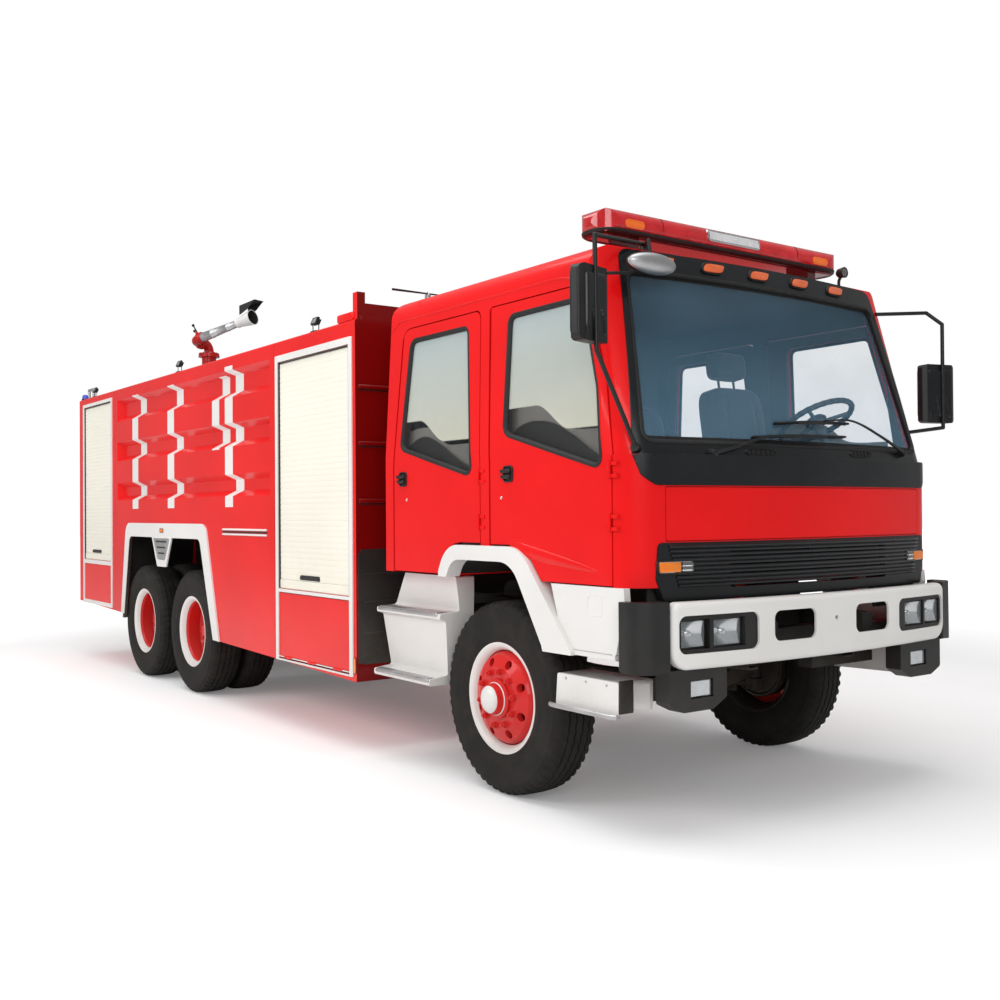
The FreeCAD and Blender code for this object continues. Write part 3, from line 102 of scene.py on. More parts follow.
def bothSides(parts):
    return list(parts) + [mirrored(p) for p in parts]


def onHand(side, parts):
    # parts made for the left side, as they are or mirrored
    return list(parts) if side == "left" else [mirrored(p) for p in parts]


def capped(grid, finish=0):
    # a row of closed sections, with both ends drawn together to their middles
    ends = [np.repeat(grid[end].mean(axis=0)[None, :], grid.shape[1], axis=0)[None] for end in (0, -1)]
    return surface(np.concatenate([ends[0], grid, ends[1]]), closeV=True, finish=finish)


def rawMesh(name, part):
    mesh = bpy.data.meshes.new(name)
    count = len(part["quads"])
    mesh.vertices.add(len(part["points"]))
    mesh.vertices.foreach_set("co", part["points"].astype(np.float32).ravel())
    mesh.loops.add(count * 4)
    mesh.loops.foreach_set("vertex_index", part["quads"].astype(np.int32).ravel())
    mesh.polygons.add(count)
    mesh.polygons.foreach_set("loop_start", (np.arange(count) * 4).astype(np.int32))
    mesh.polygons.foreach_set("material_index", part["finish"].astype(np.int32))
    mesh.update(calc_edges=True)
    return mesh


def piece(name, parts, finishes, body, creaseAngle=38, replaces=()):
    # welds each part, points its faces outwards, and joins the parts into one object on a body
    closed = [p for p in parts if not p["open"]]
    sheets = [p for p in parts if p["open"]]
    whole = bmesh.new()
    for group, outward in ((closed, True), (sheets, False)):
        if not group:
            continue
        mesh = rawMesh(name, together(group))
        bm = bmesh.new()
        bm.from_mesh(mesh)
        bmesh.ops.remove_doubles(bm, verts=bm.verts, dist=2e-6)
        bmesh.ops.dissolve_degenerate(bm, dist=1e-6, edges=bm.edges)
        if outward:
            bmesh.ops.recalc_face_normals(bm, faces=bm.faces)
        bm.to_mesh(mesh)
        bm.free()
        whole.from_mesh(mesh)
        bpy.data.meshes.remove(mesh)
    mesh = bpy.data.meshes.new(name)
    whole.to_mesh(mesh)
    whole.free()
    mesh.polygons.foreach_set("use_smooth", np.ones(len(mesh.polygons), dtype=bool))
    mesh.set_sharp_from_angle(angle=math.radians(creaseAngle))
    for finish in finishes:
        mesh.materials.append(finish)
    obj = bpy.data.objects.new(name, mesh)
    bpy.context.scene.collection.objects.link(obj)
    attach(obj, body)
    if replaces:
        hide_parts(*replaces)
    return obj


def softBox(low, high, radius, steps=3, finish=0):
    # box with rounded edges: points of the box's faces pulled to the sphere of that radius round the inner
    # box
    low, high = np.asarray(low, dtype=float), np.asarray(high, dtype=float)
    radius = min(radius, float((high - low).min()) / 2.001)
    bend = radius * (1 - np.cos(np.linspace(0, math.pi / 2, steps + 1)))
    lines = [np.concatenate([low[k] + bend, high[k] - bend[::-1]]) for k in range(3)]
    grids = []
    for axis in range(3):
        a, b = [k for k in range(3) if k != axis]
        u, v = np.meshgrid(lines[a], lines[b], indexing="ij")
        for end in (low[axis], high[axis]):
            p = np.zeros(u.shape + (3,))
            p[..., a], p[..., b], p[..., axis] = u, v, end
            inner = np.clip(p, low + radius, high - radius)
            away = p - inner
            size = np.linalg.norm(away, axis=-1, keepdims=True)
            grids.append(surface(inner + away / np.maximum(size, 1e-9) * radius, finish=finish))
    return together(grids)


def turned(profile, centre, axis=1, steps=96, finish=0, closeRing=True):
    # profile of (distance along the axis, radius) swept round the axis
    profile = np.asarray(profile, dtype=float)
    angle = around(steps)
    along, radius = np.meshgrid(np.ones(steps), profile[:, 0], indexing="ij")[1], np.outer(np.ones(steps),
        profile[:, 1])
    grid = np.zeros(along.shape + (3,))
    others = [k for k in range(3) if k != axis]
    grid[..., axis] = along
    grid[..., others[0]] = radius * np.cos(angle)[:, None]
    grid[..., others[1]] = radius * np.sin(angle)[:, None]
    return surface(grid + np.asarray(centre, dtype=float), closeU=True, closeV=closeRing, finish=finish)


def lathe(profile, centre, axis=1, steps=96, finish=0):
    # the same for a profile that starts and ends on the axis
    return turned(profile, centre, axis, steps, finish, closeRing=False)


def smoothPath(points, steps=6, closed=False):
    # Catmull-Rom curve through the points: cubic in each span, slopes from the neighbours
    points = np.asarray(points, dtype=float)
    if closed:
        ring = np.concatenate([points[-1:], points, points[:2]])
    else:
        ring = np.concatenate([2 * points[:1] - points[1:2], points, 2 * points[-1:] - points[-2:-1]])
    t = np.linspace(0, 1, steps, endpoint=False)[None, :, None]
    a, b, c, d = (ring[k:len(ring) - 3 + k, None, :] for k in range(4))
    curve = 0.5 * (2 * b + (c - a) * t + (2 * a - 5 * b + 4 * c - d) * t ** 2 + (3 * b - a - 3 * c + d) * t
        ** 3)
    curve = curve.reshape(-1, points.shape[1])
    return curve if closed else np.concatenate([curve, points[-1:]])


def pipe(path, radius, sides=10, up=(0.13, 0.21, 1.0), closed=False, finish=0, squeeze=1.0):
    # circle (or ellipse, by squeeze) of that radius carried along the path, with domed ends
    path = np.asarray(path, dtype=float)
    radius = np.broadcast_to(np.asarray(radius, dtype=float), (len(path),)).copy()
    tangent = np.roll(path, -1, axis=0) - np.roll(path, 1, axis=0) if closed else np.gradient(path, axis=0)
    tangent /= np.linalg.norm(tangent, axis=1, keepdims=True)
    side = np.cross(tangent, np.asarray(up, dtype=float))
    side /= np.linalg.norm(side, axis=1, keepdims=True)
    top = np.cross(side, tangent)
    if not closed:
        ends = [path[0] - tangent[0] * radius[0] * 0.5, path[-1] + tangent[-1] * radius[-1] * 0.5]
        path = np.concatenate([ends[:1], path[:1], path, path[-1:], ends[1:]])
        side = np.concatenate([side[:1], side[:1], side, side[-1:], side[-1:]])
        top = np.concatenate([top[:1], top[:1], top, top[-1:], top[-1:]])
        radius = np.concatenate([[0.0], radius[:1] * 0.85, radius, radius[-1:] * 0.85, [0.0]])
        path[1] -= tangent[0] * radius[2] * 0.35
        path[-2] += tangent[-1] * radius[-3] * 0.35
    angle = around(sides)
    ring = (np.cos(angle)[None, :, None] * side[:, None, :] + squeeze * np.sin(angle)[None, :, None] * top[:,
        None, :])
    return surface(path[:, None, :] + ring * radius[:, None, None], closeU=closed, closeV=True, finish=finish)


def roundedOutline(corners, steps=6):
    # closed outline through corners (u, v, radius), an arc tangent to both sides at each
    points = np.array([c[:2] for c in corners], dtype=float)
    radii = np.array([c[2] for c in corners], dtype=float)
    back = np.roll(points, 1, axis=0) - points
    ahead = np.roll(points, -1, axis=0) - points
    back /= np.linalg.norm(back, axis=1, keepdims=True)
    ahead /= np.linalg.norm(ahead, axis=1, keepdims=True)
    half = np.arccos(np.clip((back * ahead).sum(axis=1), -1, 1)) / 2
    bisector = back + ahead
    bisector /= np.linalg.norm(bisector, axis=1, keepdims=True)
    centre = points + bisector * (radii / np.sin(half))[:, None]
    start = points + back * (radii / np.tan(half))[:, None] - centre
    end = points + ahead * (radii / np.tan(half))[:, None] - centre
    t = np.linspace(0, 1, steps)[None, :, None]
    swing = (math.pi - 2 * half)[:, None, None]
    arc = (np.sin((1 - t) * swing) * start[:, None] + np.sin(t * swing) * end[:, None]) / np.sin(swing)
    return (centre[:, None] + arc).reshape(-1, 2)


def evenly(outline, count):
    # the same closed outline with its points spread evenly along it, corners kept close
    ring = np.concatenate([outline, outline[:1]])
    run = np.concatenate([[0], np.cumsum(np.linalg.norm(np.diff(ring, axis=0), axis=1))])
    want = np.linspace(0, run[-1], count, endpoint=False)
    return np.stack([np.interp(want, run, ring[:, k]) for k in range(2)], axis=1)


def grown(outline, amount):
    # outline moved outwards by amount along its own normals
    slope = np.roll(outline, -1, axis=0) - np.roll(outline, 1, axis=0)
    slope /= np.linalg.norm(slope, axis=1, keepdims=True)
    area = np.sum(outline[:, 0] * np.roll(outline[:, 1], -1) - np.roll(outline[:, 0], -1) * outline[:, 1])
    return outline + amount * math.copysign(1, area) * np.stack([slope[:, 1], -slope[:, 0]], axis=1)


def patch(outline, place, lifts, insets, rings=5, finish=0):
    # filled outline laid on a surface: rings from its middle to its rim, then lifts and insets down the rim.
    # place(u, v, lift) gives the point; a negative inset is outside the outline.
    middle = outline.mean(axis=0)
    rows = []
    for share in np.linspace(0, 1, rings + 1)[:-1]:
        flat = middle + (grown(outline, -insets[0]) - middle) * share
        rows.append(place(flat[:, 0], flat[:, 1], lifts[0]))
    for lift, inset in zip(lifts, insets):
        flat = grown(outline, -inset)
        rows.append(place(flat[:, 0], flat[:, 1], lift))
    return surface(np.stack(rows), closeV=True, finish=finish)


def band(outline, place, lifts, insets, finish=0):
    # closed bead that follows an outline: its section is the loop of (inset, lift) pairs
    rows = []
    for lift, inset in zip(lifts, insets):
        flat = grown(outline, -inset)
        rows.append(place(flat[:, 0], flat[:, 1], lift))
    return surface(np.stack(rows), closeU=True, closeV=True, finish=finish)


cabSkin = {"bow": 6.89, "corner": 0.2, "front": 1.21, "half": 1.198, "belt": 1.8, "lean": 0.285, "step": 0.03,
    "sideLean": 0.0578}


def cornerX():
    # centre of the rounded front corner, from the bow and the corner touching inside
    reach = cabSkin["bow"] - cabSkin["corner"]
    return cabSkin["front"] - cabSkin["bow"] + math.sqrt(reach ** 2 - (cabSkin["half"] - cabSkin["corner"])
        ** 2)


def leanAt(z):
    above = np.maximum(z - cabSkin["belt"], 0)
    return np.where(z > cabSkin["belt"], cabSkin["step"] + cabSkin["lean"] * above, 0.0)


def cabFront(y, z, lift=0.0):
    # point of the cab's front over (y, z): bow arc, then corner arc, leaning back above the belt
    y, z = np.asarray(y, dtype=float), np.asarray(z, dtype=float)
    inner = cabSkin["half"] - cabSkin["corner"]
    bow, corner = cabSkin["bow"] + lift, cabSkin["corner"] + lift
    meet = inner * bow / (cabSkin["bow"] - cabSkin["corner"])
    flat = cabSkin["front"] - cabSkin["bow"] + np.sqrt(bow ** 2 - np.minimum(np.abs(y), meet) ** 2)
    turn = cornerX() + np.sqrt(np.maximum(corner ** 2 - np.maximum(np.abs(y) - inner, 0) ** 2, 0))
    x = np.where(np.abs(y) < meet, flat, turn) - leanAt(z)
    return xyz(x + axleX, y, z)


def cabSide(x, z, lift=0.0):
    # point of the cab's left side over (x, z): upright, leaning in above the belt, and round the front corner
    x, z = np.asarray(x, dtype=float), np.asarray(z, dtype=float)
    wall = cabSkin["half"] + 0.002 - cabSkin["sideLean"] * np.maximum(z - cabSkin["belt"], 0)
    wall = np.minimum(wall, cabSkin["half"]) + lift
    inner = cabSkin["half"] - cabSkin["corner"]
    past = np.maximum(x + leanAt(z) - cornerX(), 0)
    corner = cabSkin["corner"] + lift
    turn = inner + np.sqrt(np.maximum(corner ** 2 - past ** 2, 0))
    return xyz(x + axleX, np.minimum(wall, turn), z)


class Wires:
    # short calls for adding and joining shader nodes in one tree
    def __init__(self, tree):
        self.tree = tree

    def feed(self, socket, value):
        if isinstance(value, bpy.types.NodeSocket):
            self.tree.links.new(value, socket)
        elif value is not None:
            socket.default_value = value

    def add(self, kind, inputs=None, **settings):
        node = self.tree.nodes.new("ShaderNode" + kind)
        for key, value in settings.items():
            setattr(node, key, value)
        for key, value in (inputs or {}).items():
            self.feed(node.inputs[key], value)
        return node

    def math(self, operation, a, b=None, clamp=False):
        return self.add("Math", {0: a, 1: b}, operation=operation, use_clamp=clamp).outputs[0]

    def times(self, a, b, clamp=False):
        return self.math("MULTIPLY", a, b, clamp)

    def plus(self, a, b, clamp=False):
        return self.math("ADD", a, b, clamp)

    def minus(self, a, b, clamp=False):
        return self.math("SUBTRACT", a, b, clamp)

    def most(self, a, b, clamp=False):
        return self.math("MAXIMUM", a, b, clamp)

    def over(self, a, b, clamp=False):
        return self.math("GREATER_THAN", a, b, clamp)

    def split(self, vector):
        return self.add("SeparateXYZ", {0: vector}).outputs

    def blend(self, factor, a, b):
        node = self.add("Mix", {"Factor": factor}, data_type="RGBA")
        self.feed(node.inputs[6], a)
        self.feed(node.inputs[7], b)
        return node.outputs[2]

    def ramp(self, value, low, high):
        return self.add("MapRange", {"Value": value, "From Min": low, "From Max": high},
            clamp=True).outputs[0]

    def noise(self, point, scale, detail=3.0, rough=0.55):
        return self.add("TexNoise", {"Vector": point, "Scale": scale, "Detail": detail,
            "Roughness": rough}).outputs[0]

    def bump(self, height, strength, distance, normal=None):
        return self.add("Bump", {"Height": height, "Strength": strength, "Distance": distance,
            "Normal": normal}).outputs[0]

    def group(self, tree, inputs):
        node = self.tree.nodes.new("ShaderNodeGroup")
        node.node_tree = tree
        for key, value in inputs.items():
            self.feed(node.inputs[key], value)
        return node


def makeGroup(name, inputs, outputs, build):
    tree = bpy.data.node_groups.new(name, "ShaderNodeTree")
    for label, kind, value in inputs:
        socket = tree.interface.new_socket(label, in_out="INPUT", socket_type="NodeSocket" + kind)
        if value is not None:
            socket.default_value = value
    for label, kind in outputs:
        tree.interface.new_socket(label, in_out="OUTPUT", socket_type="NodeSocket" + kind)
    start, end = tree.nodes.new("NodeGroupInput"), tree.nodes.new("NodeGroupOutput")
    wires = Wires(tree)
    for label, value in build(wires, start.outputs).items():
        wires.feed(end.inputs[label], value)
    return tree


def roadFilm(w, given):
    # dust that thickens towards the road: a falling ramp on height, broken up by two noises
    height = w.split(given["Point"])[2]
    low = w.ramp(height, given["High"], given["Low"])
    cloud = w.noise(given["Point"], 3.5, 5.0)
    fine = w.noise(given["Point"], 60.0, 2.0)
    patchy = w.ramp(w.plus(cloud, w.times(fine, 0.35)), 0.45, 0.95)
    mask = w.times(w.times(low, low), w.plus(w.times(patchy, 0.7), 0.3))
    return {"Mask": w.times(mask, given["Amount"], clamp=True)}


def sprayedSkin(w, given):
    # faint orange peel and slow panel waviness under gloss paint
    peel = w.noise(given["Point"], 220.0, 2.0)
    wave = w.noise(given["Point"], 2.2, 1.0)
    height = w.plus(w.times(peel, 0.02), w.times(wave, given["Wave"]))
    tone = w.ramp(w.noise(given["Point"], 1.1, 3.0), 0.3, 0.75)
    return {"Normal": w.bump(height, 0.5, 0.01), "Tone": tone}


def mouldedGrain(w, given):
    # leather-like grain of moulded plastic, from small Voronoi cells, and a chalky fade
    cells = w.add("TexVoronoi", {"Vector": given["Point"], "Scale": given["Scale"]}, feature="F1").outputs[0]
    fade = w.ramp(w.noise(given["Point"], 4.0, 4.0), 0.35, 0.8)
    return {"Normal": w.bump(cells, given["Depth"], 0.001), "Fade": fade}


def brushedLines(w, given):
    # fine scratches along x from a noise stretched along it
    stretched = w.add("Mapping", {"Vector": given["Point"], "Scale": (1.5, 220.0, 220.0)}).outputs[0]
    lines = w.noise(stretched, 3.0, 3.0)
    blotch = w.noise(given["Point"], 7.0, 3.0)
    return {"Lines": lines, "Blotch": blotch, "Normal": w.bump(lines, 0.12, 0.0006)}


def innerFace(w, given):
    # 1 inside the cab's walls, from how deep a point lies under the roof, the rear and the rounded front
    # corners
    parts = w.split(given["Point"])
    above = w.most(w.minus(parts[2], 1.8), 0.0)
    lean = w.plus(w.times(above, 0.285), w.times(w.over(parts[2], 1.8), 0.03))
    bow = w.math("DIVIDE", w.times(parts[1], parts[1]), 13.78)
    ahead = w.plus(w.minus(w.plus(parts[0], lean), given["Front"]), w.plus(bow, 0.2))
    side = w.minus(w.math("ABSOLUTE", parts[1]), w.minus(0.998, w.times(above, 0.0578)))
    outX, outY = w.most(ahead, 0.0), w.most(side, 0.0)
    reach = w.math("SQRT", w.plus(w.times(outX, outX), w.times(outY, outY)))
    within = w.math("MINIMUM", w.most(ahead, side), 0.0)
    plan = w.minus(w.minus(0.2, reach), within)
    roof = w.minus(2.874, parts[2])
    rear = w.minus(parts[0], given["Rear"])
    mask = w.times(w.over(plan, 0.028), w.over(roof, 0.035))
    mask = w.times(mask, w.over(w.plus(plan, roof), 0.13))
    mask = w.times(mask, w.over(rear, 0.045))
    return {"Mask": w.times(mask, w.over(parts[2], 1.19))}


filmGroup = makeGroup("roadFilm", [("Point", "Vector", None), ("Low", "Float", 0.3), ("High", "Float", 1.6),
    ("Amount", "Float", 0.5)], [("Mask", "Float")], roadFilm)
sprayGroup = makeGroup("sprayedSkin", [("Point", "Vector", None), ("Wave", "Float", 0.1)],
    [("Normal", "Vector"), ("Tone", "Float")], sprayedSkin)
grainGroup = makeGroup("mouldedGrain", [("Point", "Vector", None), ("Scale", "Float", 400.0),
    ("Depth", "Float", 0.3)], [("Normal", "Vector"), ("Fade", "Float")], mouldedGrain)
brushGroup = makeGroup("brushedLines", [("Point", "Vector", None)],
    [("Lines", "Float"), ("Blotch", "Float"), ("Normal", "Vector")], brushedLines)
insideGroup = makeGroup("innerFace", [("Point", "Vector", None), ("Rear", "Float", 2.075),
    ("Front", "Float", 4.3)], [("Mask", "Float")], innerFace)
dustColour = (0.3, 0.25, 0.2, 1.0)


def newFinish(name):
    # a new material, its wires, a call that sets or feeds its shader's sockets, and the object coordinates
    finish = bpy.data.materials.new(name)
    finish.use_nodes = True
    tree = finish.node_tree
    shader = tree.nodes["Principled BSDF"]
    w = Wires(tree)
    point = w.add("TexCoord").outputs["Object"]

    def put(label, value):
        w.feed(shader.inputs[label], value)

    return finish, w, put, point


def roadDust(w, point, film):
    return w.group(filmGroup, {"Point": point, "Low": film[0], "High": film[1], "Amount": film[2]}).outputs[0]


def glossPaint(name, colour, deep, wave=0.1, film=(0.35, 1.5, 0.35), rough=0.3, coat=0.24, inside=None,
        shine=0.12, inboard=None, paintedShadeFrom=None):
    # two close tones of one paint under a clear coat, filmed with dust low down, trim on cab walls' inner faces,
    # and painted shade on the front rims' inboard part and on the body's front wall facing the cab
    finish, w, put, point = newFinish(name)
    put("Specular IOR Level", shine)
    spray = w.group(sprayGroup, {"Point": point, "Wave": wave})
    dust = roadDust(w, point, film)
    tone = w.blend(spray.outputs["Tone"], (*deep, 1), (*colour, 1))
    tone = w.blend(dust, tone, dustColour)
    roughness = w.plus(w.times(dust, 0.45), rough, clamp=True)
    if inside:
        mask = w.group(insideGroup, {"Point": point, "Rear": axleX - 1.11, "Front": axleX + 1.21}).outputs[0]
        tone = w.blend(mask, tone, (*inside, 1))
        roughness = w.most(roughness, w.times(mask, 0.7))
        put("Coat Weight", w.times(w.minus(1.0, mask), coat))
    else:
        put("Coat Weight", coat)
    if inboard:
        # painted shade: the front rims' inboard part, inside the wheel, turns near-black
        parts = w.split(point)
        paintedWheelShade = w.times(w.math("LESS_THAN", w.math("ABSOLUTE", parts[1]), inboard[0]),
            w.over(parts[0], inboard[1]))
        tone = w.blend(paintedWheelShade, tone, (0.022, 0.019, 0.017, 1))
        roughness = w.most(roughness, w.times(paintedWheelShade, 0.7))
    if paintedShadeFrom:
        # painted shade: the body's front wall, facing the cab, turns a dark red
        paintedShade = w.ramp(w.split(point)[0], paintedShadeFrom, paintedShadeFrom + 0.004)
        tone = w.blend(paintedShade, tone, tuple(c * 0.22 for c in colour) + (1,))
    put("Coat Roughness", 0.05)
    put("Base Color", tone)
    put("Roughness", roughness)
    put("Normal", spray.outputs["Normal"])
    return finish


def plastic(name, colour, faded, rough=0.5, grain=420.0, depth=0.25, film=(0.3, 1.6, 0.4), shine=0.35):
    finish, w, put, point = newFinish(name)
    put("Specular IOR Level", shine)
    skin = w.group(grainGroup, {"Point": point, "Scale": grain, "Depth": depth})
    dust = roadDust(w, point, film)
    tone = w.blend(skin.outputs["Fade"], (*colour, 1), (*faded, 1))
    put("Base Color", w.blend(dust, tone, dustColour))
    put("Roughness", w.plus(w.times(skin.outputs["Fade"], 0.12), rough, clamp=True))
    put("Normal", skin.outputs["Normal"])
    return finish


def metal(name, colour, rough=0.32, shine=1.0, film=(0.3, 1.6, 0.35)):
    finish, w, put, point = newFinish(name)
    brush = w.group(brushGroup, {"Point": point})
    dust = roadDust(w, point, film)
    dull = tuple(c * 0.78 for c in colour)
    tone = w.blend(w.ramp(brush.outputs["Blotch"], 0.35, 0.7), (*dull, 1), (*colour, 1))
    put("Base Color", w.blend(dust, tone, dustColour))
    put("Roughness", w.plus(w.times(brush.outputs["Lines"], 0.2), rough, clamp=True))
    put("Metallic", w.times(w.minus(1.0, dust), shine))
    put("Normal", brush.outputs["Normal"])
    return finish


def treadRubber(name, colour, dusty):
    # tyre rubber: grey in the grooves and on the shoulders, from two noises, with fine pores
    finish, w, put, point = newFinish(name)
    put("Specular IOR Level", 0.22)
    cloud = w.ramp(w.noise(point, 9.0, 5.0), 0.35, 0.75)
    pores = w.noise(point, 900.0, 2.0)
    put("Base Color", w.blend(cloud, (*colour, 1), (*dusty, 1)))
    put("Roughness", w.plus(w.times(cloud, 0.15), 0.68))
    put("Normal", w.bump(pores, 0.25, 0.0008))
    return finish


def tintedGlass(name, tint, clear, skyReflection=None):
    # window glass, lightly filmed; with skyReflection, a painted sky reflection that is pale above the door
    # card's stepped rail line, and dark below it
    finish, w, put, point = newFinish(name)
    film = w.ramp(w.noise(point, 2.5, 4.0), 0.4, 0.8)
    tone = w.blend(film, (*tint, 1), (*(c * 1.12 + 0.01 for c in tint), 1))
    alpha = w.plus(w.times(film, 0.06), 1.0 - clear)
    if skyReflection:
        parts = w.split(point)
        along = w.plus(parts[0], w.times(w.math("LESS_THAN", parts[0], axleX), 1.13))
        step = w.add("MapRange", {"Value": along, "From Min": axleX + 0.37, "From Max": axleX + 0.65,
            "To Min": 2.08, "To Max": 1.944}, interpolation_type="SMOOTHSTEP").outputs[0]
        over = w.ramp(w.minus(parts[2], step), -0.004, 0.004)
        facing = w.add("NewGeometry").outputs["Normal"]
        facing = w.add("VectorTransform", {0: facing}, vector_type="NORMAL", convert_from="WORLD",
            convert_to="OBJECT").outputs[0]
        outward = w.times(w.split(facing)[1], parts[1])
        over = w.times(over, w.over(outward, 0.0))
        # painted sky reflection: pale, bluer higher up, on the outward faces above the rail line
        paintedSkyReflection = w.blend(w.ramp(parts[2], 1.95, 2.55), (*skyReflection["low"], 1), (*skyReflection["high"], 1))
        tone = w.blend(over, tone, paintedSkyReflection)
        alpha = w.plus(w.times(over, skyReflection["veil"]), alpha, clamp=True)
    put("Base Color", tone)
    put("Roughness", w.times(film, 0.05))
    put("IOR", 1.5)
    put("Transmission Weight", 0.0)
    put("Alpha", alpha)
    return finish


def screenPane(name, tint, veil):
    # laminated screen: clear, with a pale blue veil of painted sky reflection that thickens towards its foot
    finish, w, put, point = newFinish(name)
    film = w.ramp(w.noise(point, 2.0, 4.0), 0.4, 0.8)
    height = w.split(point)[2]
    low = w.ramp(height, 2.45, 1.9)
    alpha = w.plus(w.times(low, veil[1] - veil[0]), veil[0])
    put("Base Color", w.blend(film, (*tint, 1), (*(min(1.0, c * 1.08) for c in tint), 1)))
    put("Roughness", w.times(film, 0.04))
    put("IOR", 1.5)
    put("Alpha", w.plus(alpha, w.times(film, 0.01)))
    return finish


def lampLens(name, tint, clear=0.75, ribs=140.0, across=0, glow=0.0, foot=None):
    # coloured lens with moulded flutes: a sine of position across it as bump
    finish, w, put, point = newFinish(name)
    place = w.split(point)[across]
    wave = w.math("SINE", w.times(place, ribs * 2 * math.pi))
    tone = w.ramp(w.noise(point, 12.0, 2.0), 0.3, 0.8)
    lens = w.blend(tone, (*tint, 1), (*(min(1.0, c * 1.35 + 0.02) for c in tint), 1))
    put("Transmission Weight", clear)
    if foot:
        above = w.ramp(w.split(point)[2], foot - 0.001, foot + 0.001)
        lens = w.blend(above, (0.01, 0.01, 0.01, 1), lens)
        put("Transmission Weight", w.times(above, clear))
    put("Base Color", lens)
    put("Roughness", w.plus(w.times(tone, 0.08), 0.08))
    put("IOR", 1.45)
    put("Coat Weight", 0.5)
    if glow:
        put("Emission Strength", glow)
        put("Emission Color", (*tint, 1))
    put("Normal", w.bump(wave, 0.2, 0.0008))
    return finish


def weave(name, colour, light):
    # plain weave: product of two sines across the cloth as colour and bump
    finish, w, put, point = newFinish(name)
    parts = w.split(point)
    warp = w.math("SINE", w.times(parts[1], 2400.0))
    weft = w.math("SINE", w.times(w.plus(parts[0], parts[2]), 2400.0))
    thread = w.times(warp, weft)
    tone = w.ramp(w.plus(thread, w.noise(point, 30.0, 3.0)), -0.6, 1.6)
    put("Base Color", w.blend(tone, (*colour, 1), (*light, 1)))
    put("Sheen Weight", 0.3)
    put("Roughness", w.plus(w.times(tone, 0.1), 0.85))
    put("Normal", w.bump(thread, 0.3, 0.0006))
    return finish


redPaint = glossPaint("redPaint", (0.82, 0.006, 0.007), (0.7, 0.004, 0.005), film=(0.35, 1.4, 0.1),
    inside=(0.07, 0.07, 0.075))
# bodyRed carries painted shade on the body's front wall behind the cab
bodyRed = glossPaint("bodyRed", (0.8, 0.01, 0.01), (0.66, 0.007, 0.007), wave=0.22, film=(0.35, 1.5, 0.1),
    paintedShadeFrom=axleX - 1.4045)
# rimRed carries painted shade, near-black, on the front rims' inboard part
rimRed = glossPaint("rimRed", (0.7, 0.01, 0.01), (0.52, 0.01, 0.01), film=(-0.2, 1.3, 0.3), rough=0.34,
    coat=0.3, inboard=(1.02, axleX - 1.0))
gunRed = glossPaint("gunRed", (0.5, 0.012, 0.01), (0.34, 0.012, 0.01), film=(0.0, 0.1, 0.0), rough=0.34,
    coat=0.3)
whitePaint = glossPaint("whitePaint", (0.8, 0.79, 0.77), (0.7, 0.69, 0.67), film=(0.2, 1.5, 0.4), rough=0.28)
shutterCream = glossPaint("shutterCream", (0.88, 0.85, 0.74), (0.82, 0.8, 0.7), wave=0.0, rough=0.36,
    coat=0.2, film=(0.8, 2.4, 0.25))
blackPlastic = plastic("blackPlastic", (0.006, 0.006, 0.006), (0.016, 0.016, 0.016), rough=0.36,
    film=(0.3, 1.4, 0.12))
cowlBlack = plastic("cowlBlack", (0.006, 0.007, 0.008), (0.012, 0.013, 0.015), rough=0.2, grain=900.0,
    depth=0.05, film=(0.3, 1.2, 0.1))
cabGrey = plastic("cabGrey", (0.055, 0.056, 0.06), (0.085, 0.086, 0.09), rough=0.6, film=(0.0, 0.1, 0.0))
doorGrey = plastic("doorGrey", (0.17, 0.165, 0.15), (0.24, 0.23, 0.21), rough=0.5, film=(0.0, 0.1, 0.0))
rubberSeal = plastic("rubberSeal", (0.01, 0.01, 0.01), (0.02, 0.02, 0.02), rough=0.5, grain=1500.0, depth=0.1)
darkSteel = glossPaint("darkSteel", (0.02, 0.02, 0.021), (0.012, 0.012, 0.012), film=(0.0, 1.4, 0.6),
    rough=0.5, coat=0.0)
brushed = metal("brushed", (0.62, 0.62, 0.63))
chrome = metal("chrome", (0.82, 0.82, 0.83), rough=0.06, film=(0.0, 0.1, 0.0))
mirrorGlass = metal("mirrorGlass", (0.75, 0.77, 0.78), rough=0.0, film=(0.0, 0.1, 0.0))
tyreRubber = treadRubber("tyreRubber", (0.01, 0.0095, 0.009), (0.026, 0.022, 0.019))
# side windows carry a painted sky reflection above the door cards' rail line
windowGlass = tintedGlass("windowGlass", (0.02, 0.022, 0.024), 0.9,
    skyReflection={"low": (0.6, 0.6, 0.5), "high": (0.5, 0.58, 0.58), "veil": 0.47})
glassPlate = screenPane("glassPlate", (0.62, 0.7, 0.74), (0.1, 0.1))
# windscreen: its pale blue veil is a painted sky reflection, thicker towards the foot
screenGlass = screenPane("screenGlass", (0.3, 0.6, 0.86), (0.055, 0.115))
redLens = lampLens("redLens", (0.62, 0.01, 0.012), clear=0.55, ribs=60.0, across=1, glow=0.05)
barLens = lampLens("barLens", (0.6, 0.004, 0.01), clear=0.4, ribs=45.0, across=1, glow=0.06, foot=2.962)
markerLens = lampLens("markerLens", (0.8, 0.13, 0.03), clear=0.2, ribs=130.0, across=1)
amberLens = lampLens("amberLens", (0.95, 0.22, 0.01), clear=0.35, ribs=130.0, across=1, glow=0.08)
clearLens = lampLens("clearLens", (0.86, 0.88, 0.9), clear=0.9, ribs=90.0, across=1)
blueLens = lampLens("blueLens", (0.02, 0.06, 0.55), clear=0.5, ribs=90.0, across=1)
whiteLens = lampLens("whiteLens", (0.8, 0.8, 0.8), clear=0.3, ribs=90.0, across=1)
seatCloth = weave("seatCloth", (0.02, 0.022, 0.028), (0.055, 0.058, 0.07))


def paint(finish, *names):
    for name in names:
        for slot in nodes[name].material_slots:
            slot.material = finish


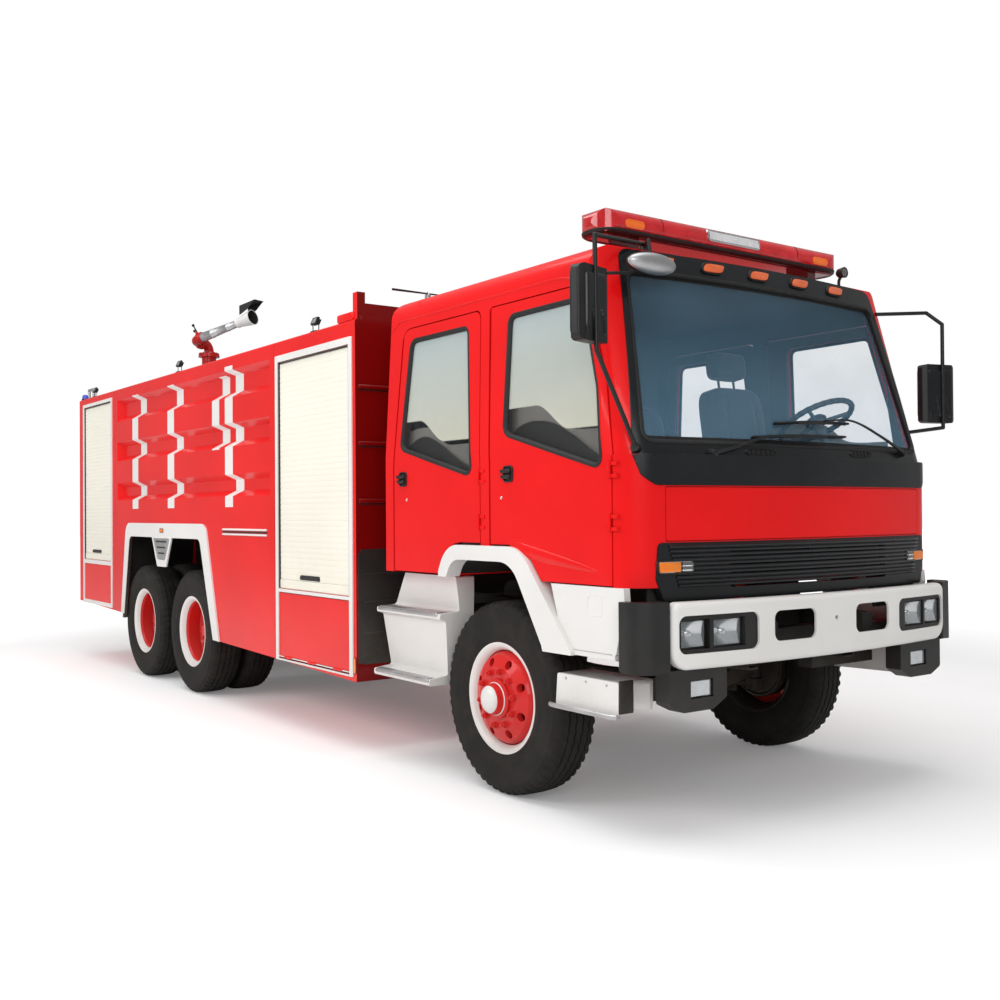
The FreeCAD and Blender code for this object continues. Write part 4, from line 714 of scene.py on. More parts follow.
sides = ("left", "right")
for side in sides:
    paint(redPaint, "front_door_" + side, "rear_door_" + side)
    paint(windowGlass, "front_door_glass_" + side, "rear_door_glass_" + side)
    paint(rimRed, "front_rim_" + side, "mid_rims_" + side, "rear_rims_" + side)
    paint(darkSteel, "knuckle_" + side)
    paint(bodyRed, "locker_flap_" + side)
paint(redPaint, "cab_shell", "front_hatch")
paint(bodyRed, "front_lockers", "tank_body", "pump_module")
paint(shutterCream, "roller_shutters")
paint(whitePaint, "wheel_flares", "front_bumper", "cab_steps", "shutter_frames", "arch_trims")
paint(blackPlastic, "bumper_plastics", "mirrors", "roof_lamps")
paint(cowlBlack, "front_trim")
paint(screenGlass, "windscreen")
paint(cabGrey, "dashboard", "steering_wheel")
paint(darkSteel, "frame_rails", "engine_block", "front_axle", "tie_rod", "rear_axles")
paint(brushed, "roof_deck", "rear_ladder", "rear_step")
paint(gunRed, "monitor_base", "monitor_swivel", "monitor_barrel")
paint(barLens, "light_bar")
paint(clearLens, "headlamps")
paint(seatCloth, "seats")
print("finishes on", len(nodes), "nodes")


# tyres, rims' white rings, wheel nuts and hub caps

tyre = {"radius": 0.525, "pitches": 56, "perPitch": 4, "grooves": (-0.066, -0.022, 0.022, 0.066),
    "grooveHalf": 0.0046, "deep": 0.013, "sway": 0.0036, "notch": 0.01, "crown": 0.004, "tread": 0.1}
wheels = [("front_wheel", "front_tyre", 0.0, (1.015,)), ("mid_wheels", "mid_tyres", -4.39, (1.087, 0.769)),
    ("rear_wheels", "rear_tyres", -5.62, (1.087, 0.769))]


def treadColumns():
    # (across, radius, share of the sway, share of the notch) from the outer bead over the tread to the inner
    # bead
    wall = [(0.071, 0.2862, 0, 0), (0.104, 0.2872, 0, 0), (0.119, 0.303, 0, 0), (0.1275, 0.326, 0, 0),
        (0.132, 0.346, 0, 0), (0.1335, 0.349, 0, 0), (0.133, 0.354, 0, 0), (0.1375, 0.378, 0, 0),
        (0.1395, 0.41, 0, 0), (0.1378, 0.44, 0, 0), (0.1346, 0.462, 0, 0), (0.1358, 0.467, 0, 0),
        (0.134, 0.472, 0, 0), (0.129, 0.486, 0, 0.35), (0.121, 0.502, 0, 0.9), (0.112, 0.5135, 0, 1),
        (0.102, 0.5195, 0, 1)]
    ribs = []
    for line in reversed(tyre["grooves"]):
        for edge, drop in ((1, 0), (0.55, 1), (-0.55, 1), (-1, 0)):
            y = line + edge * tyre["grooveHalf"]
            ribs.append((y, tyre["radius"] - tyre["crown"] * (y / tyre["tread"]) ** 2 - drop * tyre["deep"],
                1, 0))
        ribs.append((line - 0.012, tyre["radius"] - tyre["crown"] * ((line - 0.012) / tyre["tread"]) ** 2,
            0.4, 0))
    mirror = [(-a, b, c, d) for a, b, c, d in reversed(wall)]
    return np.array(wall + ribs[:-1] + mirror + [(-0.07, 0.29, 0, 0), (0.07, 0.29, 0, 0)])


def tyrePart(x, y):
    # a circle of columns: the grooves sway as a triangle wave and the shoulders are notched once a pitch
    columns = treadColumns()
    count = tyre["pitches"] * tyre["perPitch"]
    phase = (np.arange(count) % tyre["perPitch"]) / tyre["perPitch"]
    wave = (1 - np.abs(4 * phase - 2)) * tyre["sway"]
    notch = (phase < 0.3) * tyre["notch"]
    turn = around(count) - math.pi / 2
    radius = columns[None, :, 1] - notch[:, None] * columns[None, :, 3]
    grid = np.stack([x + radius * np.cos(turn)[:, None], y + columns[None, :, 0] + wave[:, None]
        * columns[None, :, 2], tyre["radius"] + radius * np.sin(turn)[:, None]], axis=-1)
    return surface(grid, closeU=True, closeV=True)


rimTrim = {"nuts": 10, "nutRing": 0.148}
hexNut = [(0.0, 0.0), (0.0, 0.019), (0.004, 0.0195), (0.006, 0.0165), (0.024, 0.0165), (0.027, 0.013),
    (0.027, 0.009), (0.036, 0.0085), (0.037, 0.0)]
flangeRing = [(0.1205, 0.3012), (0.1205, 0.2905), (0.1095, 0.276), (0.08, 0.2625), (0.078, 0.26),
    (0.078, 0.2575), (0.108, 0.272), (0.118, 0.288), (0.117, 0.3012)]
frontCap = [(0.15, 0.0), (0.15, 0.09), (0.158, 0.0905), (0.164, 0.084), (0.186, 0.08), (0.205, 0.07),
    (0.216, 0.052), (0.222, 0.028), (0.2235, 0.0)]
driveFlange = [(0.148, 0.0), (0.148, 0.092), (0.158, 0.094), (0.162, 0.088), (0.166, 0.06), (0.176, 0.05),
    (0.178, 0.0)]


def nutsRound(x, y, ring, count, size=1.0, finish=0):
    parts = []
    for k in range(count):
        turn = 2 * math.pi * k / count + 0.16
        centre = (x + ring * math.cos(turn), y, tyre["radius"] + ring * math.sin(turn))
        parts.append(turned([(a * size, r * size) for a, r in hexNut], centre, steps=6, closeRing=False,
            finish=finish))
    return parts


for body, tyreNode, station, rows in wheels:
    x = axleX + station
    for side in sides:
        piece(tyreNode.replace("_", "") + "Tread_" + side, onHand(side, [tyrePart(x, y) for y in rows]),
            [tyreRubber], body + "_" + side, creaseAngle=30, replaces=(tyreNode + "_" + side,))
        ringParts = [turned(flangeRing, (x, rows[0], tyre["radius"]), steps=96)]
        piece(body.replace("_", "") + "Rings_" + side, onHand(side, ringParts), [whitePaint],
            body + "_" + side, creaseAngle=50)
        if len(rows) == 1:
            capParts = [lathe(frontCap, (x, rows[0], tyre["radius"]), steps=64)]
            nutParts = nutsRound(x, rows[0] + 0.137, rimTrim["nutRing"], rimTrim["nuts"])
        else:
            face = (rows[0] + rows[1]) / 2
            capParts = [turned(driveFlange, (x, face, tyre["radius"]), steps=64, closeRing=False, finish=1)]
            capParts += nutsRound(x, face + 0.16, 0.074, 8, 0.55, finish=1)
            nutParts = nutsRound(x, face + 0.034, rimTrim["nutRing"], rimTrim["nuts"])
        piece(body.replace("_", "") + "Cap_" + side, onHand(side, capParts), [whitePaint, rimRed],
            body + "_" + side)
        piece(body.replace("_", "") + "Nuts_" + side, onHand(side, nutParts), [rimRed], body + "_" + side,
            creaseAngle=25)
print("wheels dressed")


# windscreen surround, wipers, cowl vents, grille and front lamps


def onFront(lift=0.0):
    return lambda y, z, more: cabFront(y, z, lift + more)


screen = {"corners": [(-1.1, 1.85, 0.06), (1.1, 1.85, 0.06), (0.985, 2.735, 0.07), (-0.985, 2.735, 0.07)],
    "frit": 0.04}
screenLine = evenly(roundedOutline(screen["corners"], 10), 260)
rubberSection = [(0.004, 0.004), (0.004, 0.0085), (0.01, 0.0105), (0.017, 0.009), (0.023, 0.002),
    (0.026, -0.008), (0.026, -0.0155), (0.01, -0.0155)]
piece("screenRubber", [band(screenLine, onFront(), [s[1] for s in rubberSection],
    [s[0] for s in rubberSection])], [rubberSeal], "cab")


def fritPart():
    # blacked border fired into the glass: two outlines, one inside the other
    rows = [cabFront(*grown(screenLine, -inset).T, -0.0152) for inset in (0.01, 0.03, screen["frit"])]
    return surface(np.stack(rows), closeV=True, facing=(1, 0, 0))


piece("screenFrit", [fritPart()], [rubberSeal], "cab")

wiper = {"arms": [[(-0.706, 1.812, 0.03), (-0.56, 1.846, 0.045), (-0.365, 1.896, 0.04),
    (-0.15, 1.915, 0.028)], [(0.877, 1.853, 0.03), (0.64, 1.935, 0.048), (0.399, 2.012, 0.042),
    (0.16, 2.005, 0.028)]], "blades": [[(-0.4, 1.9), (-0.1, 1.917), (0.33, 1.925)],
    [(-0.215, 1.978), (0.1, 1.998), (0.39, 2.0)]], "bladeRadius": 0.0125}


def wiperParts():
    # arm swept from its spindle to the blade, the blade's spring back, its two yokes and the rubber lip
    parts = []
    for arm, blade in zip(wiper["arms"], wiper["blades"]):
        line = smoothPath([cabFront(y, z, lift) for y, z, lift in arm], 8)
        thick = np.interp(np.arange(len(line)), [0, 6, len(line) - 1], [0.013, 0.0105, 0.007])
        parts.append(pipe(line, thick, sides=8, squeeze=0.7))
        spindle = cabFront(arm[0][0], arm[0][1], 0.0)
        parts.append(lathe([(-0.004, 0.0), (-0.004, 0.024), (0.02, 0.022), (0.04, 0.016), (0.046, 0.0)],
            spindle, axis=0, steps=24))
        back = smoothPath([cabFront(y, z, 0.01) for y, z in blade], 10)
        parts.append(pipe(back, wiper["bladeRadius"], sides=8, squeeze=0.55))
        lip = smoothPath([cabFront(y, z - 0.004, -0.006) for y, z in blade], 10)
        parts.append(pipe(lip, 0.006, sides=6))
        bow = smoothPath([cabFront(*(np.array(blade[0]) * (1 - t) + np.array(blade[-1]) * t),
            0.01 + 0.018 * math.sin(t * math.pi)) for t in (0.25, 0.4, 0.5, 0.6, 0.75)], 6)
        parts.append(pipe(bow, 0.008, sides=6))
    return parts


piece("wipers", wiperParts(), [blackPlastic], "cab")

vents = {"middles": [(-0.37, 1.822), (0.449, 1.835)], "size": (0.105, 0.018), "ribs": 5}


def ventParts():
    # oval air inlets: a raised rim, a sunken mesh and upright ribs across it
    parts = []
    t = around(48)
    for y, z in vents["middles"]:
        oval = np.stack([y + vents["size"][0] * np.sign(np.cos(t)) * np.abs(np.cos(t)) ** 0.7,
            z + vents["size"][1] * np.sin(t)], axis=1)
        parts.append(band(oval, onFront(0.006), [0.0, 0.004, 0.004, 0.0], [-0.004, -0.002, 0.002, 0.004]))
        parts.append(patch(oval, onFront(0.006), [0.0012, 0.0012, -0.002], [0.004, 0.002, 0.002], rings=3,
            finish=1))
        for k in range(vents["ribs"]):
            across = y + vents["size"][0] * 0.8 * (2 * (k + 0.5) / vents["ribs"] - 1)
            parts.append(pipe([cabFront(across, z - 0.013, 0.0085), cabFront(across, z + 0.013, 0.0085)],
                0.0022, sides=6))
    return parts


piece("cowlVents", ventParts(), [cowlBlack, rubberSeal], "cab")

grille = {"rows": np.linspace(1.182, 1.368, 10), "half": 0.935, "radius": 0.0062, "lift": 0.0075}


def louvreParts():
    # rounded bars that follow the bow, each a little longer than the one below it
    parts = []
    for z in grille["rows"]:
        half = grille["half"] + (z - 1.18) * 0.3
        line = cabFront(np.linspace(-half, half, 44), np.full(44, z), grille["lift"])
        parts.append(pipe(line, grille["radius"], sides=8, squeeze=1.35))
    return parts


piece("grilleLouvres", louvreParts(), [cowlBlack], "cab")


def radiatorShade():
    # behind the louvres: a bowed sheet with rounded edges; its lower edge steps up in the middle, over the
    # frame
    y, down = np.meshgrid(np.linspace(-1.06, 1.06, 80), [0, 0.01, 0.25, 0.5, 0.7, 0.85, 0.99, 1],
        indexing="ij")
    low = 0.996 + 0.19 * np.clip((0.6 - np.abs(y)) / 0.07, 0, 1)
    z = 1.4 - down * (1.4 - low)
    front = cabFront(y, np.full_like(z, 1.2), -0.052)
    front[..., 2] = z
    back = front - np.array([0.012, 0, 0])
    loop = np.concatenate([front, back[:, ::-1]], axis=1)
    return capped(loop)


piece("radiatorShade", [radiatorShade()], [rubberSeal], "cab")


def beltStrip():
    # black strip lying on the ledge under the screen: a thin closed section carried along the bow
    y = np.linspace(-1.13, 1.13, 70)
    base = cabFront(y, np.full_like(y, 1.79), 0.0)
    section = [(0.0066, 1.796), (0.004, 1.804), (-0.015, 1.8055), (-0.0345, 1.806), (-0.0345, 1.798),
        (0.004, 1.795)]
    grid = np.stack([np.stack([base[:, 0] + dx, base[:, 1], np.full_like(y, z)], axis=1) for dx,
        z in section], axis=1)
    return capped(grid)


piece("beltStrip", [beltStrip()], [cowlBlack], "cab")

turnLamp = {"outline": [(0.852, 1.24, 0.01), (1.052, 1.24, 0.012), (1.058, 1.3, 0.012), (0.852, 1.3, 0.01)],
    "split": 0.925}


def turnLampParts():
    # wrap-round lamp: black frame bead, amber outer lens and clear inner lens
    full = roundedOutline(turnLamp["outline"], 5)
    amber = roundedOutline([(turnLamp["split"] + 0.003, 1.246, 0.006), (1.047, 1.246, 0.008),
        (1.051, 1.294, 0.008), (turnLamp["split"] + 0.003, 1.294, 0.006)], 5)
    clear = roundedOutline([(0.858, 1.246, 0.006), (turnLamp["split"] - 0.003, 1.246, 0.006),
        (turnLamp["split"] - 0.003, 1.294, 0.006), (0.858, 1.294, 0.006)], 5)
    parts = [band(evenly(full, 90), onFront(0.006), [0.0, 0.006, 0.006, 0.0], [-0.006, -0.004, 0.003, 0.005])]
    parts.append(patch(evenly(full, 90), onFront(0.006), [0.002, 0.002, -0.001], [0.004, 0.002, 0.001],
        finish=3))
    parts.append(patch(evenly(amber, 72), onFront(0.006), [0.011, 0.009, 0.0025], [0.004, 0.001, 0.0],
        finish=1))
    parts.append(patch(evenly(clear, 60), onFront(0.006), [0.011, 0.009, 0.0025], [0.004, 0.001, 0.0],
        finish=2))
    return bothSides(parts)


piece("turnLamps", turnLampParts(), [blackPlastic, amberLens, clearLens, chrome], "cab")

marker = {"middles": (-0.75, -0.41, -0.07, 0.27, 0.61), "z": 2.787, "half": (0.07, 0.026), "slant": 0.018}


def markerParts():
    # five roof markers on the black header: a slanted hood and a domed amber lens
    parts = []
    t = around(40)
    for y in marker["middles"]:
        oval = np.stack([y + marker["half"][0] * np.sign(np.cos(t)) * np.abs(np.cos(t)) ** 0.45,
            marker["z"] + marker["half"][1] * np.sign(np.sin(t)) * np.abs(np.sin(t)) ** 0.5], axis=1)
        oval[:, 0] += marker["slant"] * (oval[:, 1] - marker["z"]) / marker["half"][1]
        parts.append(band(oval, onFront(0.006), [-0.001, 0.01, 0.012, 0.002],
            [-0.008, -0.007, -0.001, 0.002]))
        parts.append(patch(oval, onFront(0.006), [0.016, 0.012, 0.0], [0.012, 0.003, 0.0005], rings=4,
            finish=1))
    return parts


piece("roofMarkers", markerParts(), [blackPlastic, markerLens], "cab")

headlamp = {"rows": [(0.64, 0.838, 1.27), (0.858, 1.028, 1.246)], "low": 0.895, "high": 1.032, "deep": 0.04}


def bowl(y0, y1, z0, z1, front, deep):
    # reflector: a grid whose depth falls off with the squared distance from its middle
    u, v = np.meshgrid(np.linspace(-1, 1, 25), np.linspace(-1, 1, 19), indexing="ij")
    reach = np.clip((u ** 2 + v ** 2) / 1.7, 0, 1)
    x = front - deep * (1 - reach)
    return surface(np.stack([x, (y0 + y1) / 2 + u * (y1 - y0) / 2, (z0 + z1) / 2 + v * (z1 - z0) / 2],
        axis=-1), facing=(1, 0, 0))


def lensPlate(y0, y1, z0, z1, front, thick, flutes, swell):
    # glass plate whose face swells in the middle and is fluted by a sine across it
    u, v = np.meshgrid(np.linspace(-1, 1, 8 * flutes + 1), np.linspace(-1, 1, 9), indexing="ij")
    body = (1 - u ** 4) * (1 - v ** 4)
    x = front + swell * body + 0.0009 * np.cos(u * flutes * math.pi) * body
    y, z = (y0 + y1) / 2 + u * (y1 - y0) / 2, (z0 + z1) / 2 + v * (z1 - z0) / 2
    face = np.stack([x, y, z], axis=-1)
    back = np.stack([np.full_like(x, front - thick), y, z], axis=-1)
    sheet = np.concatenate([face, back[::-1]], axis=0)
    rim = [np.stack([face[:, end], back[:, end]], axis=1) for end in (0, -1)]
    return together([surface(sheet, closeU=True, finish=0)] + [surface(r, finish=0) for r in rim])


def headlampParts():
    shell, glass, mirror = [], [], []
    for y0, y1, front in headlamp["rows"]:
        front = front + axleX
        low, high = headlamp["low"], headlamp["high"]
        line = evenly(roundedOutline([(y0, low, 0.01), (y1, low, 0.01), (y1, high, 0.01), (y0, high, 0.01)],
            4), 64)
        place = lambda y, z, lift: xyz(front - 0.004 + lift, y, z)
        shell.append(band(line, place, [0.002, 0.004, 0.004, -0.044, -0.044],
            [0.0, 0.001, 0.009, 0.005, 0.0]))
        shell.append(patch(line, place, [-0.043, -0.043, -0.036], [0.02, 0.004, 0.0], rings=2))
        mirror.append(bowl(y0 + 0.006, y1 - 0.006, low + 0.006, high - 0.006, front - 0.006,
            headlamp["deep"]))
        middle = ((y0 + y1) / 2, (low + high) / 2)
        mirror.append(moved(lathe([(-0.042, 0.0), (-0.042, 0.014), (-0.028, 0.014), (-0.018, 0.01),
            (-0.015, 0.0)], (front, *middle), axis=0, steps=20)))
        glass.append(lensPlate(y0 + 0.005, y1 - 0.005, low + 0.005, high - 0.005, front - 0.002, 0.003, 9,
            0.004))
    return bothSides(shell), bothSides(mirror), bothSides(glass)


lampShell, lampMirror, lampGlass = headlampParts()
fog = {"y": (0.792, 0.938), "z": (0.662, 0.743), "front": 1.216}
fogX = axleX + fog["front"]
lampShell += bothSides([softBox((fogX - 0.0045, fog["y"][0], fog["z"][0]),
    (fogX - 0.001, fog["y"][1], fog["z"][1]), 0.001)])
lampMirror += bothSides([bowl(fog["y"][0] + 0.006, fog["y"][1] - 0.006, fog["z"][0] + 0.006,
    fog["z"][1] - 0.006, fogX - 0.0006, 0.0004)])
lampGlass += bothSides([lensPlate(fog["y"][0] + 0.003, fog["y"][1] - 0.003, fog["z"][0] + 0.003,
    fog["z"][1] - 0.003, fogX, 0.0004, 7, 0.0012)])
piece("lampShells", lampShell, [blackPlastic], "chassis", replaces=("headlamps",))
piece("lampReflectors", lampMirror, [chrome], "chassis")
piece("lampGlasses", lampGlass, [glassPlate], "chassis")

bumper = {"radius": 7.44, "front": 1.335, "bolts": [(0.478, 1.07), (0.52, 1.07), (0.478, 0.838),
    (0.52, 0.838), (0.12, 1.062)]}


def bumperPoint(y, z):
    return np.array([axleX + bumper["front"] - bumper["radius"] + math.sqrt(bumper["radius"] ** 2 - y * y), y,
        z])


def boltParts():
    # dished bolt heads on the bumper's face
    dome = [(-0.002, 0.0), (-0.002, 0.0105), (0.001, 0.0105), (0.0035, 0.007), (0.0042, 0.0)]
    return bothSides([lathe(dome, bumperPoint(y, z) - np.array([0.004, 0, 0]), axis=0, steps=16) for y,
        z in bumper["bolts"]])


piece("bumperBolts", boltParts(), [whitePaint], "chassis")
print("front dressed")


def brakeParts():
    # on each front hub: a ribbed brake drum round the stub axle
    drum = [(0.93, 0.19), (0.928, 0.196), (0.93, 0.203), (0.944, 0.206), (0.95, 0.202), (0.962, 0.202),
        (0.968, 0.206), (0.98, 0.206), (0.986, 0.202), (1.04, 0.202), (1.06, 0.196), (1.066, 0.17),
        (1.066, 0.09), (1.058, 0.09), (1.056, 0.17), (1.05, 0.188), (1.036, 0.19)]
    return [turned(drum, (axleX, 0.0, tyre["radius"]), axis=1, steps=64)]


def brakeShield():
    # dust shield fixed to the stub axle: a dished disc just inside the drum's mouth
    dish = [(0.936, 0.0), (0.936, 0.12), (0.932, 0.15), (0.934, 0.181), (0.9365, 0.183), (0.9385, 0.18),
        (0.937, 0.15), (0.941, 0.12), (0.941, 0.0)]
    return [lathe(dish, (axleX, 0.0, tyre["radius"]), axis=1, steps=56)]


for side in sides:
    piece("brakeDrum" + side.capitalize(), onHand(side, brakeParts()), [darkSteel], "front_wheel_" + side)
    piece("brakeShield" + side.capitalize(), onHand(side, brakeShield()), [darkSteel], "knuckle_" + side)


# doors, their window rubbers and handles, the cab's roof line, mirrors and the corner steps


def onSide(lift=0.0):
    return lambda x, z, more: cabSide(x, z, lift + more)


doors = {
    "front_door": {"pane": [(0.115, 1.945, 0.07), (0.915, 1.733, 0.045), (0.868, 2.13, 0.06), (0.735, 2.59, 0.06),
                            (0.125, 2.585, 0.05)],
                   "handle": (0.165, 1.735), "lock": (0.105, 1.61),
                   "trim": [(0.01, 2.07), (0.2, 2.088), (0.37, 2.082), (0.47, 2.035), (0.55, 1.97),
                            (0.66, 1.945), (0.86, 1.94)],
                   "lining": [(0.09, 1.905), (0.2, 1.985), (0.33, 2.005), (0.48, 1.985), (0.64, 1.915),
                              (0.78, 1.835), (0.9, 1.77)]},
    "rear_door": {"pane": [(-0.94, 1.915, 0.06), (-0.175, 1.73, 0.045), (-0.255, 2.58, 0.05),
                           (-0.87, 2.58, 0.06)],
                  "handle": (-0.903, 1.735), "lock": (-0.86, 1.61),
                  "trim": [(-0.975, 2.03), (-0.8, 2.045), (-0.69, 2.03), (-0.6, 1.965), (-0.52, 1.93),
                           (-0.38, 1.925), (-0.15, 1.925)],
                  "lining": [(-0.96, 1.89), (-0.86, 1.96), (-0.72, 1.985), (-0.56, 1.93), (-0.4, 1.85),
                             (-0.26, 1.79), (-0.15, 1.75)]}}
paneRubber = [(-0.005, 0.0), (-0.005, 0.003), (0.002, 0.005), (0.01, 0.003), (0.019, -0.006),
    (0.021, -0.0155), (0.002, -0.0155)]


def handleParts(x, z):
    # shallow dished plate with a raised rim and two finger lobes behind it
    plate = evenly(roundedOutline([(x - 0.04, z - 0.043, 0.018), (x + 0.043, z - 0.043, 0.018),
        (x + 0.043, z + 0.043, 0.018), (x - 0.04, z + 0.043, 0.018)], 6), 64)
    parts = [band(plate, onSide(), [-0.001, 0.006, 0.0075, 0.001], [-0.002, 0.0, 0.006, 0.01]),
        patch(plate, onSide(), [0.0015, 0.0015, -0.001], [0.008, 0.004, 0.003], rings=4)]
    for drop, reach in ((0.014, 0.052), (-0.015, 0.046)):
        lobe = evenly(roundedOutline([(x - reach, z + drop - 0.012, 0.0115),
            (x + 0.034, z + drop - 0.012, 0.0115), (x + 0.034, z + drop + 0.012, 0.0115),
            (x - reach, z + drop + 0.012, 0.0115)], 6), 48)
        parts.append(patch(lobe, onSide(), [0.024, 0.022, 0.014, -0.001], [0.009, 0.004, 0.0005, 0.0],
            rings=3))
    return parts


def lockParts(x, z):
    # key cylinder: a chrome bezel round a sunken face
    bezel = [(-0.0005, 0.0), (-0.0005, 0.0085), (0.0025, 0.0085), (0.0032, 0.007), (0.0014, 0.0058),
        (0.0014, 0.0)]
    return [lathe(bezel, cabSide(x, z), axis=1, steps=28)]


def trimPart(line, low, outer, inner, roll):
    # moulded panel: its foot line to a rolled top edge along the curve, as a closed section carried along x
    top = smoothPath(line, 9)
    section = [(0.0, outer, 0.0), (0.55, outer, 0.0), (1.0, outer, -roll),
        (1.0, outer - 0.3 * (outer - inner), 0.0), (1.0, inner + 0.3 * (outer - inner), 0.0),
        (1.0, inner, -roll), (0.55, inner, 0.0), (0.0, inner, 0.0)]
    x = top[:, 0][:, None] + np.zeros(len(section))
    share = np.array([s[0] for s in section])[None, :]
    z = low + (top[:, 1][:, None] - low) * share + np.array([s[2] for s in section])[None, :]
    lift = np.array([s[1] for s in section])[None, :] + np.zeros_like(x)
    grid = cabSide(x, z, lift)
    return capped(grid)


swell = {"rear": (0.17, 1.35), "front": (0.88, 1.246), "half": 0.043, "height": 0.013}


def swellPart():
    # long styling swelling at the door's foot: a crisp upper edge that fades forwards and sinks into the skin
    u, v = np.meshgrid(np.linspace(0, 1, 48), np.linspace(-1, 1, 21), indexing="ij")
    x = swell["rear"][0] + (swell["front"][0] - swell["rear"][0]) * u
    half = swell["half"] * np.sqrt(np.clip(1 - u, 0, 1)) * np.minimum(1, 12 * u) ** 0.5
    z = swell["rear"][1] + (swell["front"][1] - swell["rear"][1]) * u + v * half
    rise = np.clip(1 - np.abs(v) ** np.where(v > 0, 5.0, 1.8), 0, 1) * np.minimum(1,
        6 * u) * np.sqrt(np.clip(1 - u, 0, 1))
    return surface(cabSide(x, z, swell["height"] * rise - 0.0008), facing=(0, 1, 0))


for name, door in doors.items():
    for side in sides:
        body = name + "_" + side
        tag = name.replace("_", "") + side.capitalize()
        paneLine = evenly(roundedOutline(door["pane"], 8), 200)
        seal = band(paneLine, onSide(), [s[1] for s in paneRubber], [s[0] for s in paneRubber])
        piece(tag + "Rubber", onHand(side, [seal]), [rubberSeal], body)
        piece(tag + "Handle", onHand(side, handleParts(*door["handle"])), [blackPlastic], body,
            creaseAngle=50)
        piece(tag + "Lock", onHand(side, lockParts(*door["lock"])), [chrome], body)
        piece(tag + "Trim", onHand(side, [trimPart(door["trim"], 1.3, -0.058, -0.086, 0.01)]), [doorGrey],
            body, creaseAngle=60)
        piece(tag + "Lining", onHand(side, [trimPart(door["lining"], 1.6, -0.04, -0.05, 0.004)]),
            [rubberSeal], body, creaseAngle=60)
        if name == "front_door":
            piece(tag + "Swell", onHand(side, [swellPart()]), [redPaint], body, creaseAngle=30)

gutter = {"z": 2.712, "x": (-1.085, 0.7), "radius": 0.0055}


def gutterParts():
    # rain gutter: a half-round bead and the seam below it, both fading into the skin at their ends
    x = np.linspace(*gutter["x"], 60)
    share = np.linspace(0, 1, 60)
    drop = 0.04 * np.clip((share - 0.88) / 0.12, 0, 1) ** 2 + 0.05 * np.clip((0.06 - share) / 0.06, 0, 1) ** 2
    bead = cabSide(x, gutter["z"] - drop, 0.0015)
    seam = cabSide(x, gutter["z"] - drop - 0.01, -0.0005)
    return bothSides([pipe(bead, gutter["radius"], sides=8), pipe(seam, 0.0022, sides=6, finish=1)])


piece("roofGutter", gutterParts(), [redPaint, rubberSeal], "cab")

mirrorHeads = [{"x": 1.04, "low": 2.305, "high": 2.651, "sign": -1},
    {"x": 1.03, "low": 2.05, "high": 2.4, "sign": 1}]
mirrorShape = {"y": 1.376, "half": 0.12, "turn": math.radians(-15)}


def mirrorParts():
    # for each head: a ribbed cover in front with two facets drawn in at its foot, and a glass set in a frame
    # behind
    covers, glasses = [], []
    swing = np.array([[math.cos(mirrorShape["turn"]), -math.sin(mirrorShape["turn"]), 0],
        [math.sin(mirrorShape["turn"]), math.cos(mirrorShape["turn"]), 0], [0, 0, 1]])
    for head in mirrorHeads:
        place = (axleX + head["x"], mirrorShape["y"], head["low"])
        tall = head["high"] - head["low"]
        finish = (lambda p: p) if head["sign"] > 0 else mirrored
        half = mirrorShape["half"]
        u, v = np.meshgrid(np.linspace(-1, 1, 33), np.linspace(0, 1, 37), indexing="ij")
        edge = np.clip((1 - np.abs(u)) / 0.1, 0, 1) * np.clip(v / 0.06, 0, 1) * np.clip((1 - v) / 0.06, 0, 1)
        facet = np.clip(1 - np.abs(np.abs(u) - 0.42) / (0.05 + 0.42 * np.clip(1 - v / 0.42, 0, 1)), 0,
            1) * (v < 0.42)
        depth = 0.0345 + 0.0075 * np.sqrt(edge) - 0.007 * np.clip(facet * 3, 0, 1)
        wide = (half - 0.036) * (1 - 0.1 * np.clip(1 - v / 0.2, 0, 1) ** 2)
        grid = np.stack([depth, u * wide, 0.03 + v * (tall - 0.06)], axis=-1)
        covers.append(finish(moved(surface(grid, facing=(1, 0, 0)), swing, place)))
        line = evenly(roundedOutline([(-half + 0.014, 0.022, 0.03), (half - 0.014, 0.022, 0.03),
            (half - 0.014, tall - 0.018, 0.026), (-half + 0.014, tall - 0.018, 0.026)], 8), 96)
        behind = lambda y, z, lift: xyz(-0.03 - lift, y, z)
        frameBead = band(line, behind, [-0.001, 0.004, 0.004, 0.0], [-0.006, -0.005, 0.002, 0.005])
        pane = patch(line, behind, [0.0025, 0.0022, -0.001], [0.006, 0.003, 0.002], rings=4)
        covers.append(finish(moved(frameBead, swing, place)))
        glasses.append(finish(moved(pane, swing, place)))
    return covers, glasses


mirrorCovers, mirrorPanes = mirrorParts()
piece("mirrorCovers", mirrorCovers, [cowlBlack], "cab", creaseAngle=24)
piece("mirrorPanes", mirrorPanes, [mirrorGlass], "cab")


def treadPlate(x0, x1, y0, y1, z, thick=0.006, pitch=0.016, finish=0):
    # serrated step plate: ridges along x as a triangle wave across y, closed below, with notched ends
    count = max(int(round((y1 - y0) / pitch)), 2)
    y = np.linspace(y0, y1, 2 * count + 1)
    rise = np.where(np.arange(len(y)) % 2 == 1, thick, thick * 0.45)
    loopY = np.concatenate([y, y[-1:], y[:1]])
    loopZ = np.concatenate([z + rise, [z - 0.001, z - 0.001]])
    x = np.linspace(x0, x1, max(int((x1 - x0) / 0.03), 2) + 1)
    notch = np.where(np.arange(len(x)) % 2 == 1, 0.0016, 0.0)
    grid = xyz(x[:, None], loopY[None, :], loopZ[None, :]).copy()
    grid[:, 1:-3, 2] -= notch[:, None]
    return capped(grid, finish)


def atAxle(parts):
    return [moved(p, None, (axleX, 0, 0)) for p in parts]


